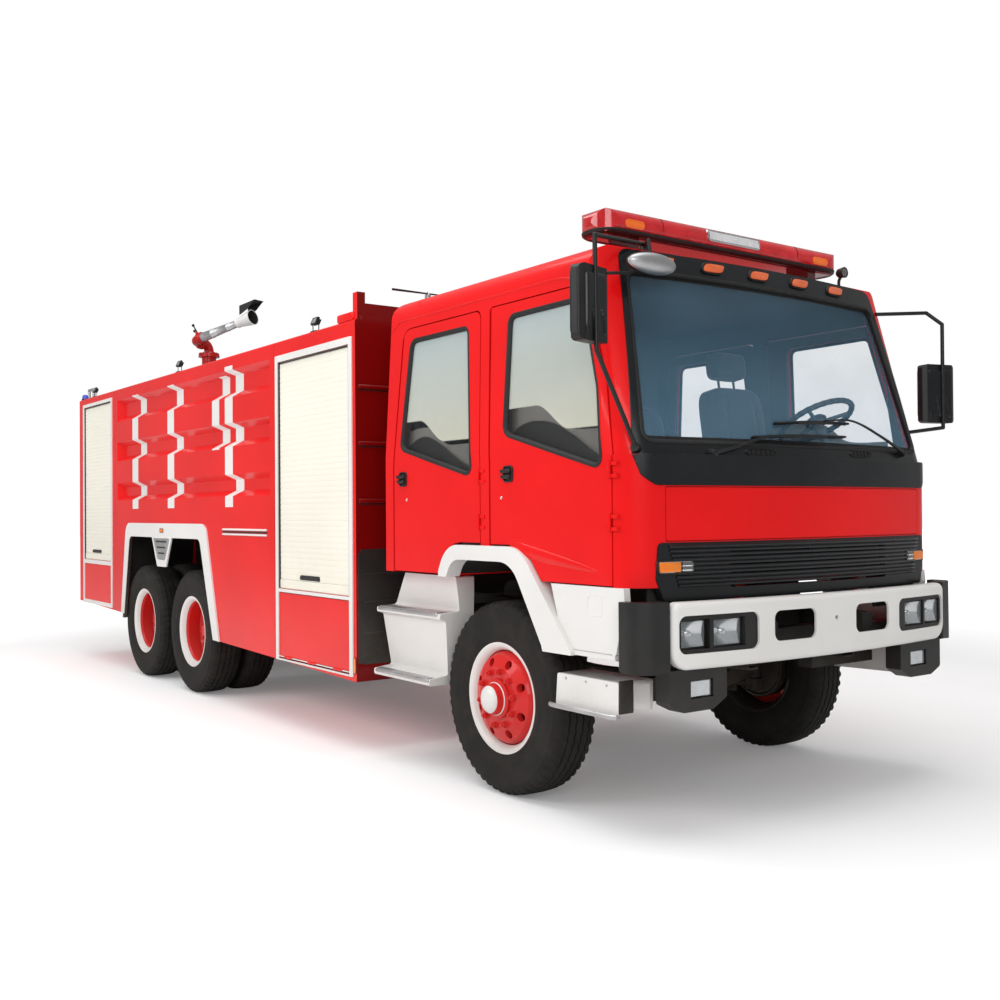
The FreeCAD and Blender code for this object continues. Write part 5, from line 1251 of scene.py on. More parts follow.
# tread strip under the corner panel, and the panel's covered towing eye as a faint bead
cornerTreads = [treadPlate(0.65, 0.975, 1.15, 1.2, 0.858, thick=0.008)]
piece("cornerTreads", atAxle(bothSides(cornerTreads)), [brushed], "cab", creaseAngle=30)
coverLine = evenly(roundedOutline([(0.8, 1.035, 0.02), (0.905, 1.035, 0.02), (0.905, 1.135, 0.03),
    (0.8, 1.135, 0.03)], 8), 80)


def onPanel(x, z, lift):
    return xyz(x + axleX, cabSkin["half"] + lift, z)


coverBead = band(coverLine, onPanel, [-0.0005, 0.0016, 0.0016, -0.0005], [-0.0028, -0.001, 0.001, 0.0028])
piece("cornerCovers", bothSides([coverBead]), [whitePaint], "cab")


def lowStepParts():
    # plate on top of the low step, a tread lip under its fascia, three screws and the dark bracket at its
    # front end
    parts = [treadPlate(0.6, 1.01, 1.01, 1.195, 0.735, thick=0.005)]
    lip = [(0.548, 1.188, 0.0), (0.548, 1.232, 0.0), (0.6, 1.24, 0.0), (1.0, 1.24, 0.0), (1.03, 1.228, 0.0)]
    path = np.array([[p[0], p[1], 0.578] for p in lip[1:]])
    parts.append(pipe(path, 0.01, sides=8, squeeze=1.3))
    parts.append(treadPlate(0.556, 1.022, 1.188, 1.238, 0.572, thick=0.006, pitch=0.012))
    bracket = [softBox((1.022, 1.12, 0.59), (1.036, 1.206, 0.745), 0.005, finish=1)]
    screws = []
    for x in (0.64, 0.79, 0.94):
        dome = [(-0.001, 0.0), (-0.001, 0.0075), (0.0012, 0.0072), (0.0028, 0.005), (0.0032, 0.0)]
        screws.append(lathe(dome, (x, 1.205, 0.715), axis=1, steps=14))
    return atAxle(bothSides(parts + bracket + screws))


piece("lowStepPlates", lowStepParts(), [brushed, darkSteel], "chassis", creaseAngle=30)


def stairParts():
    # ribbed plates on both stair treads, a rolled nosing along each and the grey kick strip under it
    parts = []
    for x0, x1, y0, y1, z, drop in ((-1.205, -0.61, 1.085, 1.212, 0.56, 0.018),
            (-1.205, -0.545, 1.075, 1.19, 0.946, 0.014)):
        parts.append(treadPlate(x0, x1, y0, y1, z + 0.002, thick=0.006))
        nose = np.array([[x0 - 0.006, y1 + 0.002, z - 0.01], [x1 + 0.006, y1 + 0.002, z - 0.01]])
        parts.append(pipe(smoothPath(nose, 12), 0.009, sides=8, squeeze=1.2))
        lip = softBox((x0, y1 - 0.02, z - 0.012 - drop), (x1, y1 + 0.001, z - 0.01), 0.004)
        parts.append(lip)
    return atAxle(bothSides(parts))


piece("stairTreads", stairParts(), [brushed], "chassis", creaseAngle=30)


houseLine = [(-0.42, 0.69, 0.0), (-0.41, 1.15, 0.06), (-0.345, 1.27, 0.12), (0.215, 1.27, 0.19),
    (0.47, 0.86, 0.0), (0.52, 0.69, 0.0)]


def houseLinerPart():
    # black liner of the front wheel house: the arch's ceiling carried from the frame out to the flare
    line = grown(evenly(roundedOutline(houseLine, 8), 300), -0.004)
    line = line[line[:, 1] > 1.178]
    y = np.linspace(0.625, 1.128, 5)
    grid = xyz(line[:, 0][:, None] + axleX, y[None, :], line[:, 1][:, None])
    return surface(grid, facing=(0, 0, -1))


piece("houseLiners", bothSides([houseLinerPart()]), [rubberSeal], "cab")
print("cab sides dressed")

kerbMirror = {"middle": (1.0, -0.95, 2.725), "half": (0.054, 0.156, 0.054)}


def kerbMirrorPart():
    # thin shell over the kerb mirror's outer half: an ellipsoid swelled by 1 mm, from pole to pole along y
    u, v = np.meshgrid(np.linspace(0.1, math.pi - 0.1, 40), np.linspace(-1.45, 0.95, 26), indexing="ij")
    grow = 0.0012 * np.minimum(1, 8 * np.minimum(np.minimum(v + 1.45, 0.95 - v) + 0.03,
        np.minimum(u - 0.1, math.pi - 0.1 - u) + 0.03))
    a, b, c = [h + grow for h in kerbMirror["half"]]
    x, y, z = kerbMirror["middle"]
    grid = np.stack([axleX + x + a * np.sin(u) * np.cos(v), y - b * np.cos(u), z + c * np.sin(u) * np.sin(v)],
        axis=-1)
    return surface(grid, facing=(1, 0, 0))


piece("kerbMirrorShell", [kerbMirrorPart()], [brushed], "cab")


# seats, dashboard and steering wheel


def crownedPad(middle, size, crown, lean=0.0, seams=(0.55,), steps=22, finish=0):
    # pad as a superellipse in plan, edges rounded by a quarter circle, its face crowned and dipped along two
    # seams
    a, b, c = np.asarray(size, dtype=float) / 2
    turn = around(72)
    ring = np.stack([np.sign(np.cos(turn)) * np.abs(np.cos(turn)) ** 0.38,
        np.sign(np.sin(turn)) * np.abs(np.sin(turn)) ** 0.38], 1)
    rows = []
    edge = min(c, 0.045)
    fall = np.linspace(0, math.pi / 2, 7)
    for t in np.linspace(0, 1, steps):
        flat = ring * t
        x, y = flat[:, 0] * (a - edge), flat[:, 1] * (b - edge)
        dome = crown * np.clip(1 - (x / a) ** 2, 0, 1) * np.clip(1 - (y / b) ** 2, 0, 1)
        dip = sum(np.exp(-((np.abs(y) - s * b) / 0.01) ** 2) for s in seams) * 0.007
        rows.append(np.stack([x, y, c + dome - dip * (t < 0.97)], axis=1))
    last = rows[-1]
    for angle in fall[1:]:
        shift = ring * edge * math.sin(angle)
        rows.append(np.stack([last[:, 0] + shift[:, 0], last[:, 1] + shift[:, 1],
            last[:, 2] - edge * (1 - math.cos(angle))], 1))
    side = rows[-1]
    rows.append(np.stack([side[:, 0], side[:, 1], np.full(72, -c)], axis=1))
    rows.append(np.stack([side[:, 0] * 0.0, side[:, 1] * 0.0, np.full(72, -c)], axis=1))
    grid = np.stack(rows)
    turnY = np.array([[math.cos(lean), 0, math.sin(lean)], [0, 1, 0], [-math.sin(lean), 0, math.cos(lean)]])
    return moved(surface(grid, closeV=True, finish=finish), turnY, middle)


def seatParts(y):
    # one front seat: pedestal, pan, cushion, back and a headrest on two posts
    hard = [softBox((0.06, y - 0.18, 1.232), (0.38, y + 0.18, 1.6), 0.02),
        softBox((0.01, y - 0.225, 1.6), (0.49, y + 0.225, 1.642), 0.015)]
    for post in (-0.07, 0.07):
        path = smoothPath([(-0.01, y + post, 2.28), (-0.022, y + post, 2.35), (-0.03, y + post, 2.42)], 6)
        hard.append(pipe(path, 0.008, sides=8))
    soft = [crownedPad((0.27, y, 1.712), (0.52, 0.5, 0.135), 0.02, 0.07),
        crownedPad((0.055, y, 2.015), (0.59, 0.48, 0.125), 0.018, math.radians(81)),
        crownedPad((-0.012, y, 2.455), (0.17, 0.29, 0.095), 0.012, math.radians(82), seams=())]
    return hard, soft


def benchParts():
    # rear bench: moulded base, three cushions and three backs, each with its own crown
    hard = [softBox((-1.04, -1.055, 1.232), (-0.56, 1.055, 1.56), 0.025)]
    soft = []
    for y in (-0.7, 0.0, 0.7):
        soft.append(crownedPad((-0.735, y, 1.632), (0.48, 0.69, 0.135), 0.02, 0.05))
        soft.append(crownedPad((-0.965, y, 2.0), (0.56, 0.69, 0.11), 0.015, math.radians(83)))
    return hard, soft


seatHard, seatSoft = [], []
for y in (0.69, -0.69):
    hard, soft = seatParts(y)
    seatHard += hard
    seatSoft.append(soft)
hard, soft = benchParts()
seatHard += hard
seatSoft.append(soft)
piece("seatFrames", atAxle(seatHard), [cabGrey], "cab", replaces=("seats",))
for name, soft in zip(("driverSeatPads", "passengerSeatPads", "benchPads"), seatSoft):
    pads = piece(name, atAxle(soft), [seatCloth], "cab", creaseAngle=70)

panel = {"ventY": (-0.93, -0.42, 0.16, 0.935)}


def dashParts():
    # cluster with two dials, four louvred vents and a centre stack with knobs
    parts = [softBox((0.838, 0.345, 1.8), (0.85, 0.755, 1.88), 0.005, finish=1)]
    for y in (0.46, 0.64):
        bezel = [(0.0, 0.0), (0.0, 0.038), (-0.005, 0.038), (-0.006, 0.034), (-0.002, 0.032), (-0.002, 0.0)]
        parts.append(turned(bezel, (0.838, y, 1.84), axis=0, steps=36, closeRing=False, finish=2))
    for y in panel["ventY"]:
        parts.append(softBox((0.836, y - 0.07, 1.705), (0.872, y + 0.07, 1.765), 0.008, finish=1))
        for k in range(4):
            z = 1.715 + k * 0.013
            parts.append(softBox((0.83, y - 0.062, z), (0.842, y + 0.062, z + 0.005), 0.002, steps=2))
    parts.append(softBox((0.8, -0.17, 1.56), (0.835, 0.13, 1.69), 0.012, finish=1))
    for k in range(3):
        knob = [(0.0, 0.0), (0.0, 0.018), (-0.014, 0.016), (-0.017, 0.01), (-0.017, 0.0)]
        parts.append(lathe(knob, (0.8, -0.11 + 0.085 * k, 1.6), axis=0, steps=24))
    return atAxle(parts)


piece("dashFittings", dashParts(), [cabGrey, blackPlastic, chrome], "cab")


def wheelGripParts():
    # grip: a ring round the rim with finger swells on its inner side, and a domed pad on the hub
    tilt = math.radians(30)
    lean = np.array([[math.cos(tilt), 0, -math.sin(tilt)], [0, 1, 0], [math.sin(tilt), 0, math.cos(tilt)]])
    turn = around(120)
    swellOf = 0.0162 + 0.0012 * np.cos(turn * 30)
    circle = np.stack([0.215 * np.cos(turn), 0.215 * np.sin(turn), np.zeros(120)], axis=1)
    parts = [pipe(circle, swellOf, sides=12, up=(0.0, 0.0, 1.0), closed=True)]
    dome = [(-0.004, 0.0), (-0.004, 0.062), (0.006, 0.064), (0.02, 0.052), (0.026, 0.03), (0.028, 0.0)]
    parts.append(lathe(dome, (0, 0, 0), axis=2, steps=48))
    return [moved(p, lean, (axleX + 0.79, 0.55, 2.04)) for p in parts]


piece("steeringGrip", wheelGripParts(), [blackPlastic], "steering_wheel")
print("cab furnished")


# body sides: stripes, shutters, seals, strips, the V plates, the bulkhead and the wheel wells

flutes = {"rows": [(1.69, 1.825), (2.08, 2.23), (2.47, 2.648)], "ends": (-6.3, -2.7), "deep": 0.05}
bodySkin = {"half": 1.25, "front": -1.4, "rear": -7.62, "bogie": -5.005}


def fluteDepth(x, z):
    # how far the flutes are pressed in: planes sloping down from the outline of each trough to its floor
    depth = np.zeros(np.broadcast(x, z).shape)
    alongX = np.minimum(x - flutes["ends"][0], flutes["ends"][1] - x) / 0.07
    for low, high in flutes["rows"]:
        alongZ = np.minimum(z - (low - 0.02), (high + 0.02) - z) / 0.045
        depth = np.maximum(depth, np.clip(np.minimum(alongX, alongZ) * 0.051 - 0.001, 0, flutes["deep"]))
    return depth


def bodySide(x, z, lift=0.0):
    x, z = np.asarray(x, dtype=float), np.asarray(z, dtype=float)
    return xyz(x + axleX, bodySkin["half"] - fluteDepth(x, z) + lift, z)


stripes = [{"x": -5.745, "width": 0.165, "low": 1.585, "high": 2.675},
    {"x": -4.775, "width": 0.16, "low": 1.585, "high": 2.675}, {"x": -3.735, "width": 0.15, "low": 2.05,
    "high": 2.64}, {"x": -3.465, "width": 0.155, "low": 1.585, "high": 2.7}]


def stripePart(line):
    # painted stroke laid on the fluted side: it sways forwards where the flute is deep, and its edges sink in
    z = np.unique(np.concatenate([np.linspace(line["low"], line["high"], 110)]
        + [[a - 0.0199, a + 0.025, b - 0.025, b + 0.0199] for a, b in flutes["rows"]]))
    z = z[(z >= line["low"]) & (z <= line["high"])]
    sway = 0.105 * fluteDepth(np.full_like(z, line["x"]), z) / flutes["deep"]
    across = np.array([0.0, 0.002, 0.5, 0.998, 1.0])
    lift = np.array([-0.001, 0.0016, 0.0016, 0.0016, -0.001])
    x = line["x"] + sway[:, None] + (across[None, :] - 0.5) * line["width"]
    rows = bodySide(x, np.broadcast_to(z[:, None], x.shape), np.broadcast_to(lift[None, :], x.shape))
    foot, head = rows[:1].copy(), rows[-1:].copy()
    foot[..., 1] -= 0.0026
    head[..., 1] -= 0.0026
    return surface(np.concatenate([foot, rows, head]), facing=(0, 1, 0))


piece("sideStripes", bothSides([stripePart(line) for line in stripes]), [whitePaint], "chassis",
    creaseAngle=25)

shutterOpenings = [{"x": (-2.551, -1.482), "z": (0.992, 2.625)}, {"x": (-7.43, -6.5), "z": (1.055, 2.68)}]
shutterLook = {"face": 1.2372, "pitch": 0.0375, "barHigh": 0.07}


def slatSheet(u0, u1, z0, z1, place):
    # roller slats: each a shallow arc with a narrow groove below it, repeated up the opening
    arc = [(0.0, 0.0036), (0.03, 0.0026), (0.06, 0.004), (0.22, 0.0047), (0.5, 0.0052), (0.8, 0.0047),
        (0.95, 0.004)]
    count = int((z1 - z0) / shutterLook["pitch"])
    pitch = (z1 - z0) / count
    steps = np.arange(count)[:, None]
    z = (z0 + (steps + np.array([a[0] for a in arc])[None, :]) * pitch).ravel()
    lift = np.tile([a[1] for a in arc], count)
    u = np.array([u0, u1])
    return surface(place(u[None, :], z[:, None], lift[:, None]), facing=place(0, 0, 1) - place(0, 0, 0))


def onShutter(u, z, lift):
    return xyz(u + axleX, shutterLook["face"] + lift, z)


def onBackShutter(u, z, lift):
    return xyz(axleX + bodySkin["rear"] + 0.0128 - lift, u, z)


def shutterFittings(u0, u1, z0, place):
    # bottom bar with a finger groove, and a grip: two feet carrying a flattened bar
    parts = []
    outline = roundedOutline([(u0 + 0.004, z0 + 0.003, 0.006), (u1 - 0.004, z0 + 0.003, 0.006),
        (u1 - 0.004, z0 + shutterLook["barHigh"], 0.006), (u0 + 0.004, z0 + shutterLook["barHigh"], 0.006)],
        4)
    parts.append(patch(evenly(outline, 160), place, [0.0085, 0.008, 0.0], [0.01, 0.003, 0.0], rings=3))
    middle, half = u0 + (u1 - u0) * 0.45, 0.16
    z = z0 + 0.092
    grip = roundedOutline([(middle - half, z - 0.017, 0.012), (middle + half, z - 0.017, 0.012),
        (middle + half - 0.018, z + 0.017, 0.012), (middle - half + 0.018, z + 0.017, 0.012)], 5)
    parts.append(patch(evenly(grip, 90), place, [0.0115, 0.0105, 0.004, -0.001], [0.007, 0.003, 0.0, 0.0],
        rings=3, finish=1))
    slot = roundedOutline([(middle - half + 0.03, z - 0.006, 0.004), (middle + half - 0.03, z - 0.006, 0.004),
        (middle + half - 0.03, z + 0.003, 0.004), (middle - half + 0.03, z + 0.003, 0.004)], 5)
    parts.append(band(evenly(slot, 80), place, [0.0105, 0.0125, 0.012, 0.0105],
        [-0.0025, -0.001, 0.001, 0.0015], finish=1))
    return parts


def sealStrips(u0, u1, z0, z1, place):
    # brush seals down both guides and under the hood: a flat lip with a rounded bead
    parts = []
    for u in (u0 + 0.009, u1 - 0.009):
        line = np.stack([place(u, z, 0.0075) for z in np.linspace(z0 + 0.01, z1 - 0.01, 10)])
        parts.append(pipe(line, 0.0085, sides=8, up=(0.9, 0.3, 0.1), squeeze=0.5, finish=1))
    line = np.stack([place(u, z1 - 0.01, 0.0075) for u in np.linspace(u0 + 0.01, u1 - 0.01, 10)])
    parts.append(pipe(line, 0.0095, sides=8, squeeze=0.5, finish=1))
    return parts


slats, fittings = [], []
for opening in shutterOpenings:
    u0, u1, z0, z1 = *opening["x"], *opening["z"]
    slats.append(slatSheet(u0 + 0.001, u1 - 0.001, z0 + shutterLook["barHigh"], z1 - 0.002, onShutter))
    fittings += shutterFittings(u0, u1, z0, onShutter) + sealStrips(u0, u1, z0, z1, onShutter)
slats = bothSides(slats)
fittings = bothSides(fittings)
slats.append(slatSheet(-0.519, 0.519, 1.01 + shutterLook["barHigh"], 2.558, onBackShutter))
fittings += shutterFittings(-0.52, 0.52, 1.01, onBackShutter) + sealStrips(-0.52, 0.52, 1.01, 2.56,
    onBackShutter)
piece("shutterSlats", slats, [shutterCream], "chassis", creaseAngle=20)
piece("shutterFittings", fittings, [shutterCream, blackPlastic], "chassis")

rubStrip = {"x": (-3.586, -2.761), "z": 1.39}


def rubStripParts():
    # rubbing strip: two white rounded rails with a dark bead between them
    x = np.linspace(*rubStrip["x"], 24)
    parts = []
    for rise in (0.019, -0.019):
        parts.append(pipe(bodySide(x, np.full(24, rubStrip["z"] + rise), 0.001), 0.0115, sides=10,
            squeeze=0.75))
    parts.append(pipe(bodySide(x, np.full(24, rubStrip["z"]), 0.0), 0.009, sides=8, squeeze=0.6, finish=1))
    return bothSides(parts)


piece("rubStrips", rubStripParts(), [whitePaint, rubberSeal], "chassis")

vee = {"outer": 1.2631, "inner": [(-0.215, 1.318, 0.012), (-0.092, 1.118, 0.02), (0.108, 1.118, 0.02),
    (0.235, 1.318, 0.012)]}


def onVee(x, z, lift):
    return xyz(x + axleX + bodySkin["bogie"], vee["outer"] + lift, z)


def veeParts():
    # pressed panel in the V plate: a bead round it, a dished grey face and three slots
    line = evenly(roundedOutline(vee["inner"], 6), 120)
    parts = [band(line, onVee, [-0.0008, 0.0022, 0.0022, -0.0008], [-0.006, -0.003, 0.002, 0.004]),
        patch(line, onVee, [0.0008, 0.0008, -0.0008], [0.01, 0.004, 0.003], finish=1)]
    for k in range(3):
        z, half = 1.285 - 0.052 * k, 0.135 - 0.028 * k
        slot = evenly(roundedOutline([(-half, z - 0.008, 0.0075), (half + 0.012, z - 0.008, 0.0075),
            (half + 0.012, z + 0.008, 0.0075), (-half, z + 0.008, 0.0075)], 5), 56)
        parts.append(patch(slot, onVee, [0.0013, 0.0013, 0.0], [0.003, 0.001, 0.0], rings=2, finish=2))
    return bothSides(parts)


piece("veePanels", veeParts(), [whitePaint, brushed, rubberSeal], "chassis")


def reflectorParts():
    # amber markers: one over each V plate and one low at the body's front corner, each lens in its own base
    parts = []
    spots = [((bodySkin["bogie"] - 0.028, bodySkin["bogie"] + 0.062), (1.368, 1.402), 0.0135),
        ((-1.437, -1.407), (0.505, 0.605), 0.0005)]
    for (x0, x1), (z0, z1), out in spots:
        line = evenly(roundedOutline([(x0, z0, 0.008), (x1, z0, 0.008), (x1, z1, 0.008), (x0, z1, 0.008)], 5),
            56)
        onPlate = lambda x, z, lift, out=out: xyz(x + axleX, bodySkin["half"] + out + lift, z)
        parts.append(band(line, onPlate, [-0.001, 0.004, 0.004, 0.0], [-0.003, -0.002, 0.002, 0.004]))
        parts.append(patch(line, onPlate, [0.0065, 0.0055, -0.001], [0.006, 0.002, 0.001], finish=1))
    return bothSides(parts)


piece("sideReflectors", reflectorParts(), [blackPlastic, amberLens], "chassis")


def bulkheadParts():
    # front wall of the body: pressed ribs across it, a black splash panel below them and the rim block on top
    parts = []
    for z in (2.345, 1.98, 1.61):
        y = np.linspace(-1.225, 1.225, 30)
        line = np.stack([np.full(30, axleX + bodySkin["front"] + 0.001), y, np.full(30, z)], axis=1)
        parts.append(pipe(line, 0.016, sides=10, up=(1.0, 0.1, 0.2), squeeze=1.0))
        low = line + np.array([0.0005, 0, -0.02])
        parts.append(pipe(low, 0.004, sides=6, finish=1))
    line = evenly(roundedOutline([(-1.236, 0.56, 0.01), (1.236, 0.56, 0.01), (1.236, 1.3, 0.01),
        (-1.236, 1.3, 0.01)], 4), 120)
    onWall = lambda y, z, lift: xyz(axleX + bodySkin["front"] + lift, y, z)
    parts.append(patch(line, onWall, [0.004, 0.004, 0.0], [0.01, 0.002, 0.0], rings=4, finish=1))
    for z in (0.76, 0.96, 1.14):
        y = np.linspace(-1.2, 1.2, 20)
        bar = np.stack([np.full(20, axleX + bodySkin["front"] + 0.004), y, np.full(20, z)], axis=1)
        parts.append(pipe(bar, 0.008, sides=8, finish=1))
    block = softBox((axleX - 1.66, 1.176, 2.7795), (axleX - 1.44, 1.246, 2.836), 0.014)
    return parts + bothSides([block])


piece("bulkheadRibs", bulkheadParts(), [bodyRed, rubberSeal], "chassis")

wellLine = [(-1.225, 0.4, 0.0), (-1.075, 1.322, 0.12), (1.105, 1.322, 0.12), (1.305, 0.4, 0.0)]
archLine = [(-1.09, 0.42, 0.0), (-0.885, 1.322, 0.07), (0.93, 1.322, 0.07), (1.25, 0.42, 0.0)]


def wellLinerParts():
    # black liner of the rear wheel well and of the arch's lip: their outlines carried across, 3 mm inside
    # them
    parts = []
    for line, y0, y1, foot in ((wellLine, 0.548, 1.232, 0.5), (archLine, 1.236, 1.262, 0.52)):
        path = grown(evenly(roundedOutline(line, 8), 400), -0.003)
        path = path[path[:, 1] > foot]
        y = np.linspace(y0, y1, 5)
        grid = xyz(path[:, 0][:, None] + axleX + bodySkin["bogie"], y[None, :], path[:, 1][:, None])
        parts.append(surface(grid, facing=(0, 0, -1)))
    sheetY = lambda x, z, lift: xyz(x + axleX + bodySkin["bogie"], 1.233 - lift, z)
    outer = grown(evenly(roundedOutline(wellLine, 8), 400), -0.004)
    inner = grown(evenly(roundedOutline(archLine, 8), 400), 0.01)
    keep = (outer[:, 1] > 0.505) & (inner[:, 1] > 0.505)
    rows = np.stack([sheetY(outer[keep, 0], outer[keep, 1], 0.0), sheetY(inner[keep, 0], inner[keep, 1],
        0.0)])
    parts.append(surface(rows, facing=(0, -1, 0)))
    wall = evenly(roundedOutline([(-1.0, 1.005, 0.0), (1.17, 1.005, 0.0), (1.095, 1.31, 0.1),
        (-1.06, 1.31, 0.1)], 6), 100)
    wallFace = lambda x, z, lift: xyz(x + axleX + bodySkin["bogie"], 0.549 + lift, z)
    parts.append(surface(np.stack([wallFace(*(wall.mean(axis=0)[:, None]
        + (wall.T - wall.mean(axis=0)[:, None]) * t), 0.0) for t in (0.01, 0.4, 0.7, 1.0)]), closeV=True,
        facing=(0, 1, 0)))
    return bothSides(parts)


piece("wellLiners", wellLinerParts(), [rubberSeal], "chassis")


def tailLampParts():
    # rear lamp clusters: three domed lenses in a black tray; the blank plate holder is made after it
    trays, lenses = [], []
    face = axleX + bodySkin["rear"] - 0.034
    rear = lambda y, z, lift: xyz(face - lift, y, z)
    tray = evenly(roundedOutline([(0.788, 0.648, 0.012), (1.172, 0.648, 0.012), (1.172, 0.752, 0.012),
        (0.788, 0.752, 0.012)], 5), 120)
    trays.append(band(tray, rear, [-0.001, 0.008, 0.008, 0.0], [-0.002, 0.001, 0.006, 0.009]))
    for k, finish in ((0, 2), (1, 0), (2, 1)):
        y0 = 0.802 + 0.123 * k
        cell = evenly(roundedOutline([(y0, 0.662, 0.01), (y0 + 0.112, 0.662, 0.01), (y0 + 0.112, 0.738, 0.01),
            (y0, 0.738, 0.01)], 5), 64)
        lenses.append(patch(cell, rear, [0.011, 0.01, 0.006, -0.001], [0.014, 0.004, 0.0, 0.0],
            finish=finish))
    return bothSides(trays), bothSides(lenses)


tailTrays, tailLenses = tailLampParts()
plateLine = evenly(roundedOutline([(0.62, 0.88, 0.008), (1.02, 0.88, 0.008), (1.02, 1.01, 0.008),
    (0.62, 1.01, 0.008)], 5), 90)
onBack = lambda y, z, lift: xyz(axleX + bodySkin["rear"] - lift, y, z)
plates = [band(plateLine, onBack, [-0.001, 0.007, 0.007, 0.0], [-0.006, -0.004, 0.001, 0.003]),
    patch(plateLine, onBack, [0.004, 0.004, -0.001], [0.006, 0.002, 0.001], finish=1)]
piece("tailTrays", tailTrays + plates, [blackPlastic, whitePaint], "chassis")
piece("tailLenses", tailLenses, [redLens, amberLens, whiteLens], "chassis")
stepTreads = [treadPlate(-7.702, -7.622, -1.17, 1.17, 0.6395, thick=0.004)]
rungs = []
for k in range(7):
    z = 0.86 + 0.29 * k
    y = np.linspace(-1.112, -0.758, 20)
    ridge = 0.0138 + 0.0012 * (np.arange(20) % 2)
    rungs.append(pipe(np.stack([np.full(20, -7.675), y, np.full(20, z)], axis=1), ridge, sides=12))
piece("rearTreads", atAxle(stepTreads + rungs), [brushed], "chassis", creaseAngle=30)
print("body dressed")


# roof: light bar, beacons, work lamps, the aerial, hatch handles and the monitor

bar = {"x": (0.425, 0.675), "z": (2.957, 3.087), "half": 0.955}


def ringAt(x0, x1, half, radius, count):
    # plan outline of the bar at one height, with rounded ends
    line = roundedOutline([(x0, -half, radius), (x1, -half, radius), (x1, half, radius), (x0, half, radius)],
        10)
    return evenly(line, count)


def barParts():
    # dark tray under the bar: rings that turn up into a drip lip, closed below
    x0, x1, half = bar["x"][0], bar["x"][1], bar["half"]
    rows = []
    for z, grow in ((2.96, -0.03), (2.956, -0.014), (2.964, -0.002), (2.974, 0.0018), (2.98, 0.0026),
            (2.982, 0.001), (2.981, -0.006)):
        line = grown(ringAt(x0, x1, half, 0.108, 200), grow)
        rows.append(np.stack([line[:, 0] + axleX, line[:, 1], np.full(len(line), z)], axis=1))
    parts = [surface(np.stack(rows), closeV=True)]
    middle = np.array([[axleX + 0.55, 0.0, 2.9575]])
    base = np.concatenate([rows[0][None], np.repeat(middle, len(rows[0]), axis=0)[None]])
    parts.append(surface(base, closeV=True))
    return parts


def frontOfBar(y, z, lift):
    # the bar's front: upright in the middle of its height, rounding over at the top and foot
    y, z = np.broadcast_arrays(np.asarray(y, dtype=float), np.asarray(z, dtype=float))
    radius = 0.058
    off = np.maximum(np.maximum(z - (bar["z"][1] - radius), (bar["z"][0] + radius) - z), 0)
    bend = radius - np.sqrt(np.maximum(radius ** 2 - np.minimum(off, radius) ** 2, 0))
    ahead = np.maximum(np.abs(y) - (bar["half"] - 0.112), 0)
    plan = 0.112 - np.sqrt(np.maximum(0.112 ** 2 - np.minimum(ahead, 0.112) ** 2, 0))
    return xyz(axleX + bar["x"][1] - bend - plan + lift, y, z)


def barWindow(y0, y1, z0, z1, rim, face, lens):
    # bezel bead, a bright reflector face and a domed lens over it
    line = evenly(roundedOutline([(y0, z0, 0.012), (y1, z0, 0.012), (y1, z1, 0.012), (y0, z1, 0.012)], 6),
        110)
    return [{**band(line, frontOfBar, [-0.002, 0.005, 0.006, 0.0], [-0.007, -0.006, 0.001, 0.004]),
        "finish": None, "tone": rim}, {**patch(line, frontOfBar, [0.001, 0.001, -0.002],
        [0.008, 0.003, 0.002]), "tone": face}, {**patch(line, frontOfBar, [0.005, 0.0045, 0.0015],
        [0.01, 0.003, 0.0]), "tone": lens}]


def toned(parts):
    return [{**p, "finish": np.full(len(p["quads"]), p.pop("tone"))} for p in parts]


def mirroredX(part, about):
    # the same grid facing the other way along x
    points = part["points"] * np.array([-1, 1, 1]) + np.array([2 * about, 0, 0])
    return {**part, "points": points, "quads": part["quads"][:, ::-1]}


windows = toned(barWindow(-0.205, 0.205, 3.01, 3.066, 0, 1, 2) + barWindow(-0.81, -0.69, 2.998, 3.028, 4, 3,
    4) + barWindow(0.69, 0.81, 2.998, 3.028, 4, 3, 4))
windows += [mirroredX(p, axleX + 0.55) for p in windows]
piece("barTray", barParts(), [blackPlastic], "cab", creaseAngle=40)
piece("barWindows", windows, [chrome, chrome, clearLens, amberLens, amberLens], "cab",
    creaseAngle=50)


def barRibParts():
    # joints between the bar's red modules: a thin bead up the front, over the top and down the back
    parts = []
    for y in (-0.545, 0.545):
        z = np.linspace(3.008, 3.078, 14)
        front = frontOfBar(np.full(14, y), z, 0.0008)
        back = mirroredX({"points": front[::-1], "quads": np.zeros((0, 4), int)}, axleX + 0.55)["points"]
        over = np.concatenate([front, back])
        parts.append(pipe(over, 0.002, sides=6, up=(0.05, 1.0, 0.02)))
    return parts


piece("barRibs", barRibParts(), [rubberSeal], "cab")

beacon = {"x": -7.56, "y": 1.205, "z": 2.78}


def beaconParts():
    # small corner beacons: a black base ring and a fluted blue dome
    base = [(-0.0005, 0.0), (-0.0005, 0.038), (0.006, 0.04), (0.012, 0.037), (0.014, 0.033), (0.014, 0.0)]
    dome = [(0.012, 0.0), (0.012, 0.0335), (0.03, 0.0335), (0.046, 0.03), (0.056, 0.021), (0.06, 0.01),
        (0.061, 0.0)]
    place = (axleX + beacon["x"], beacon["y"], beacon["z"])
    parts = [lathe(base, place, axis=2, steps=40), turned(dome, place, axis=2, steps=48, closeRing=False,
        finish=1)]
    return bothSides(parts)


piece("cornerBeacons", beaconParts(), [blackPlastic, blueLens], "chassis")


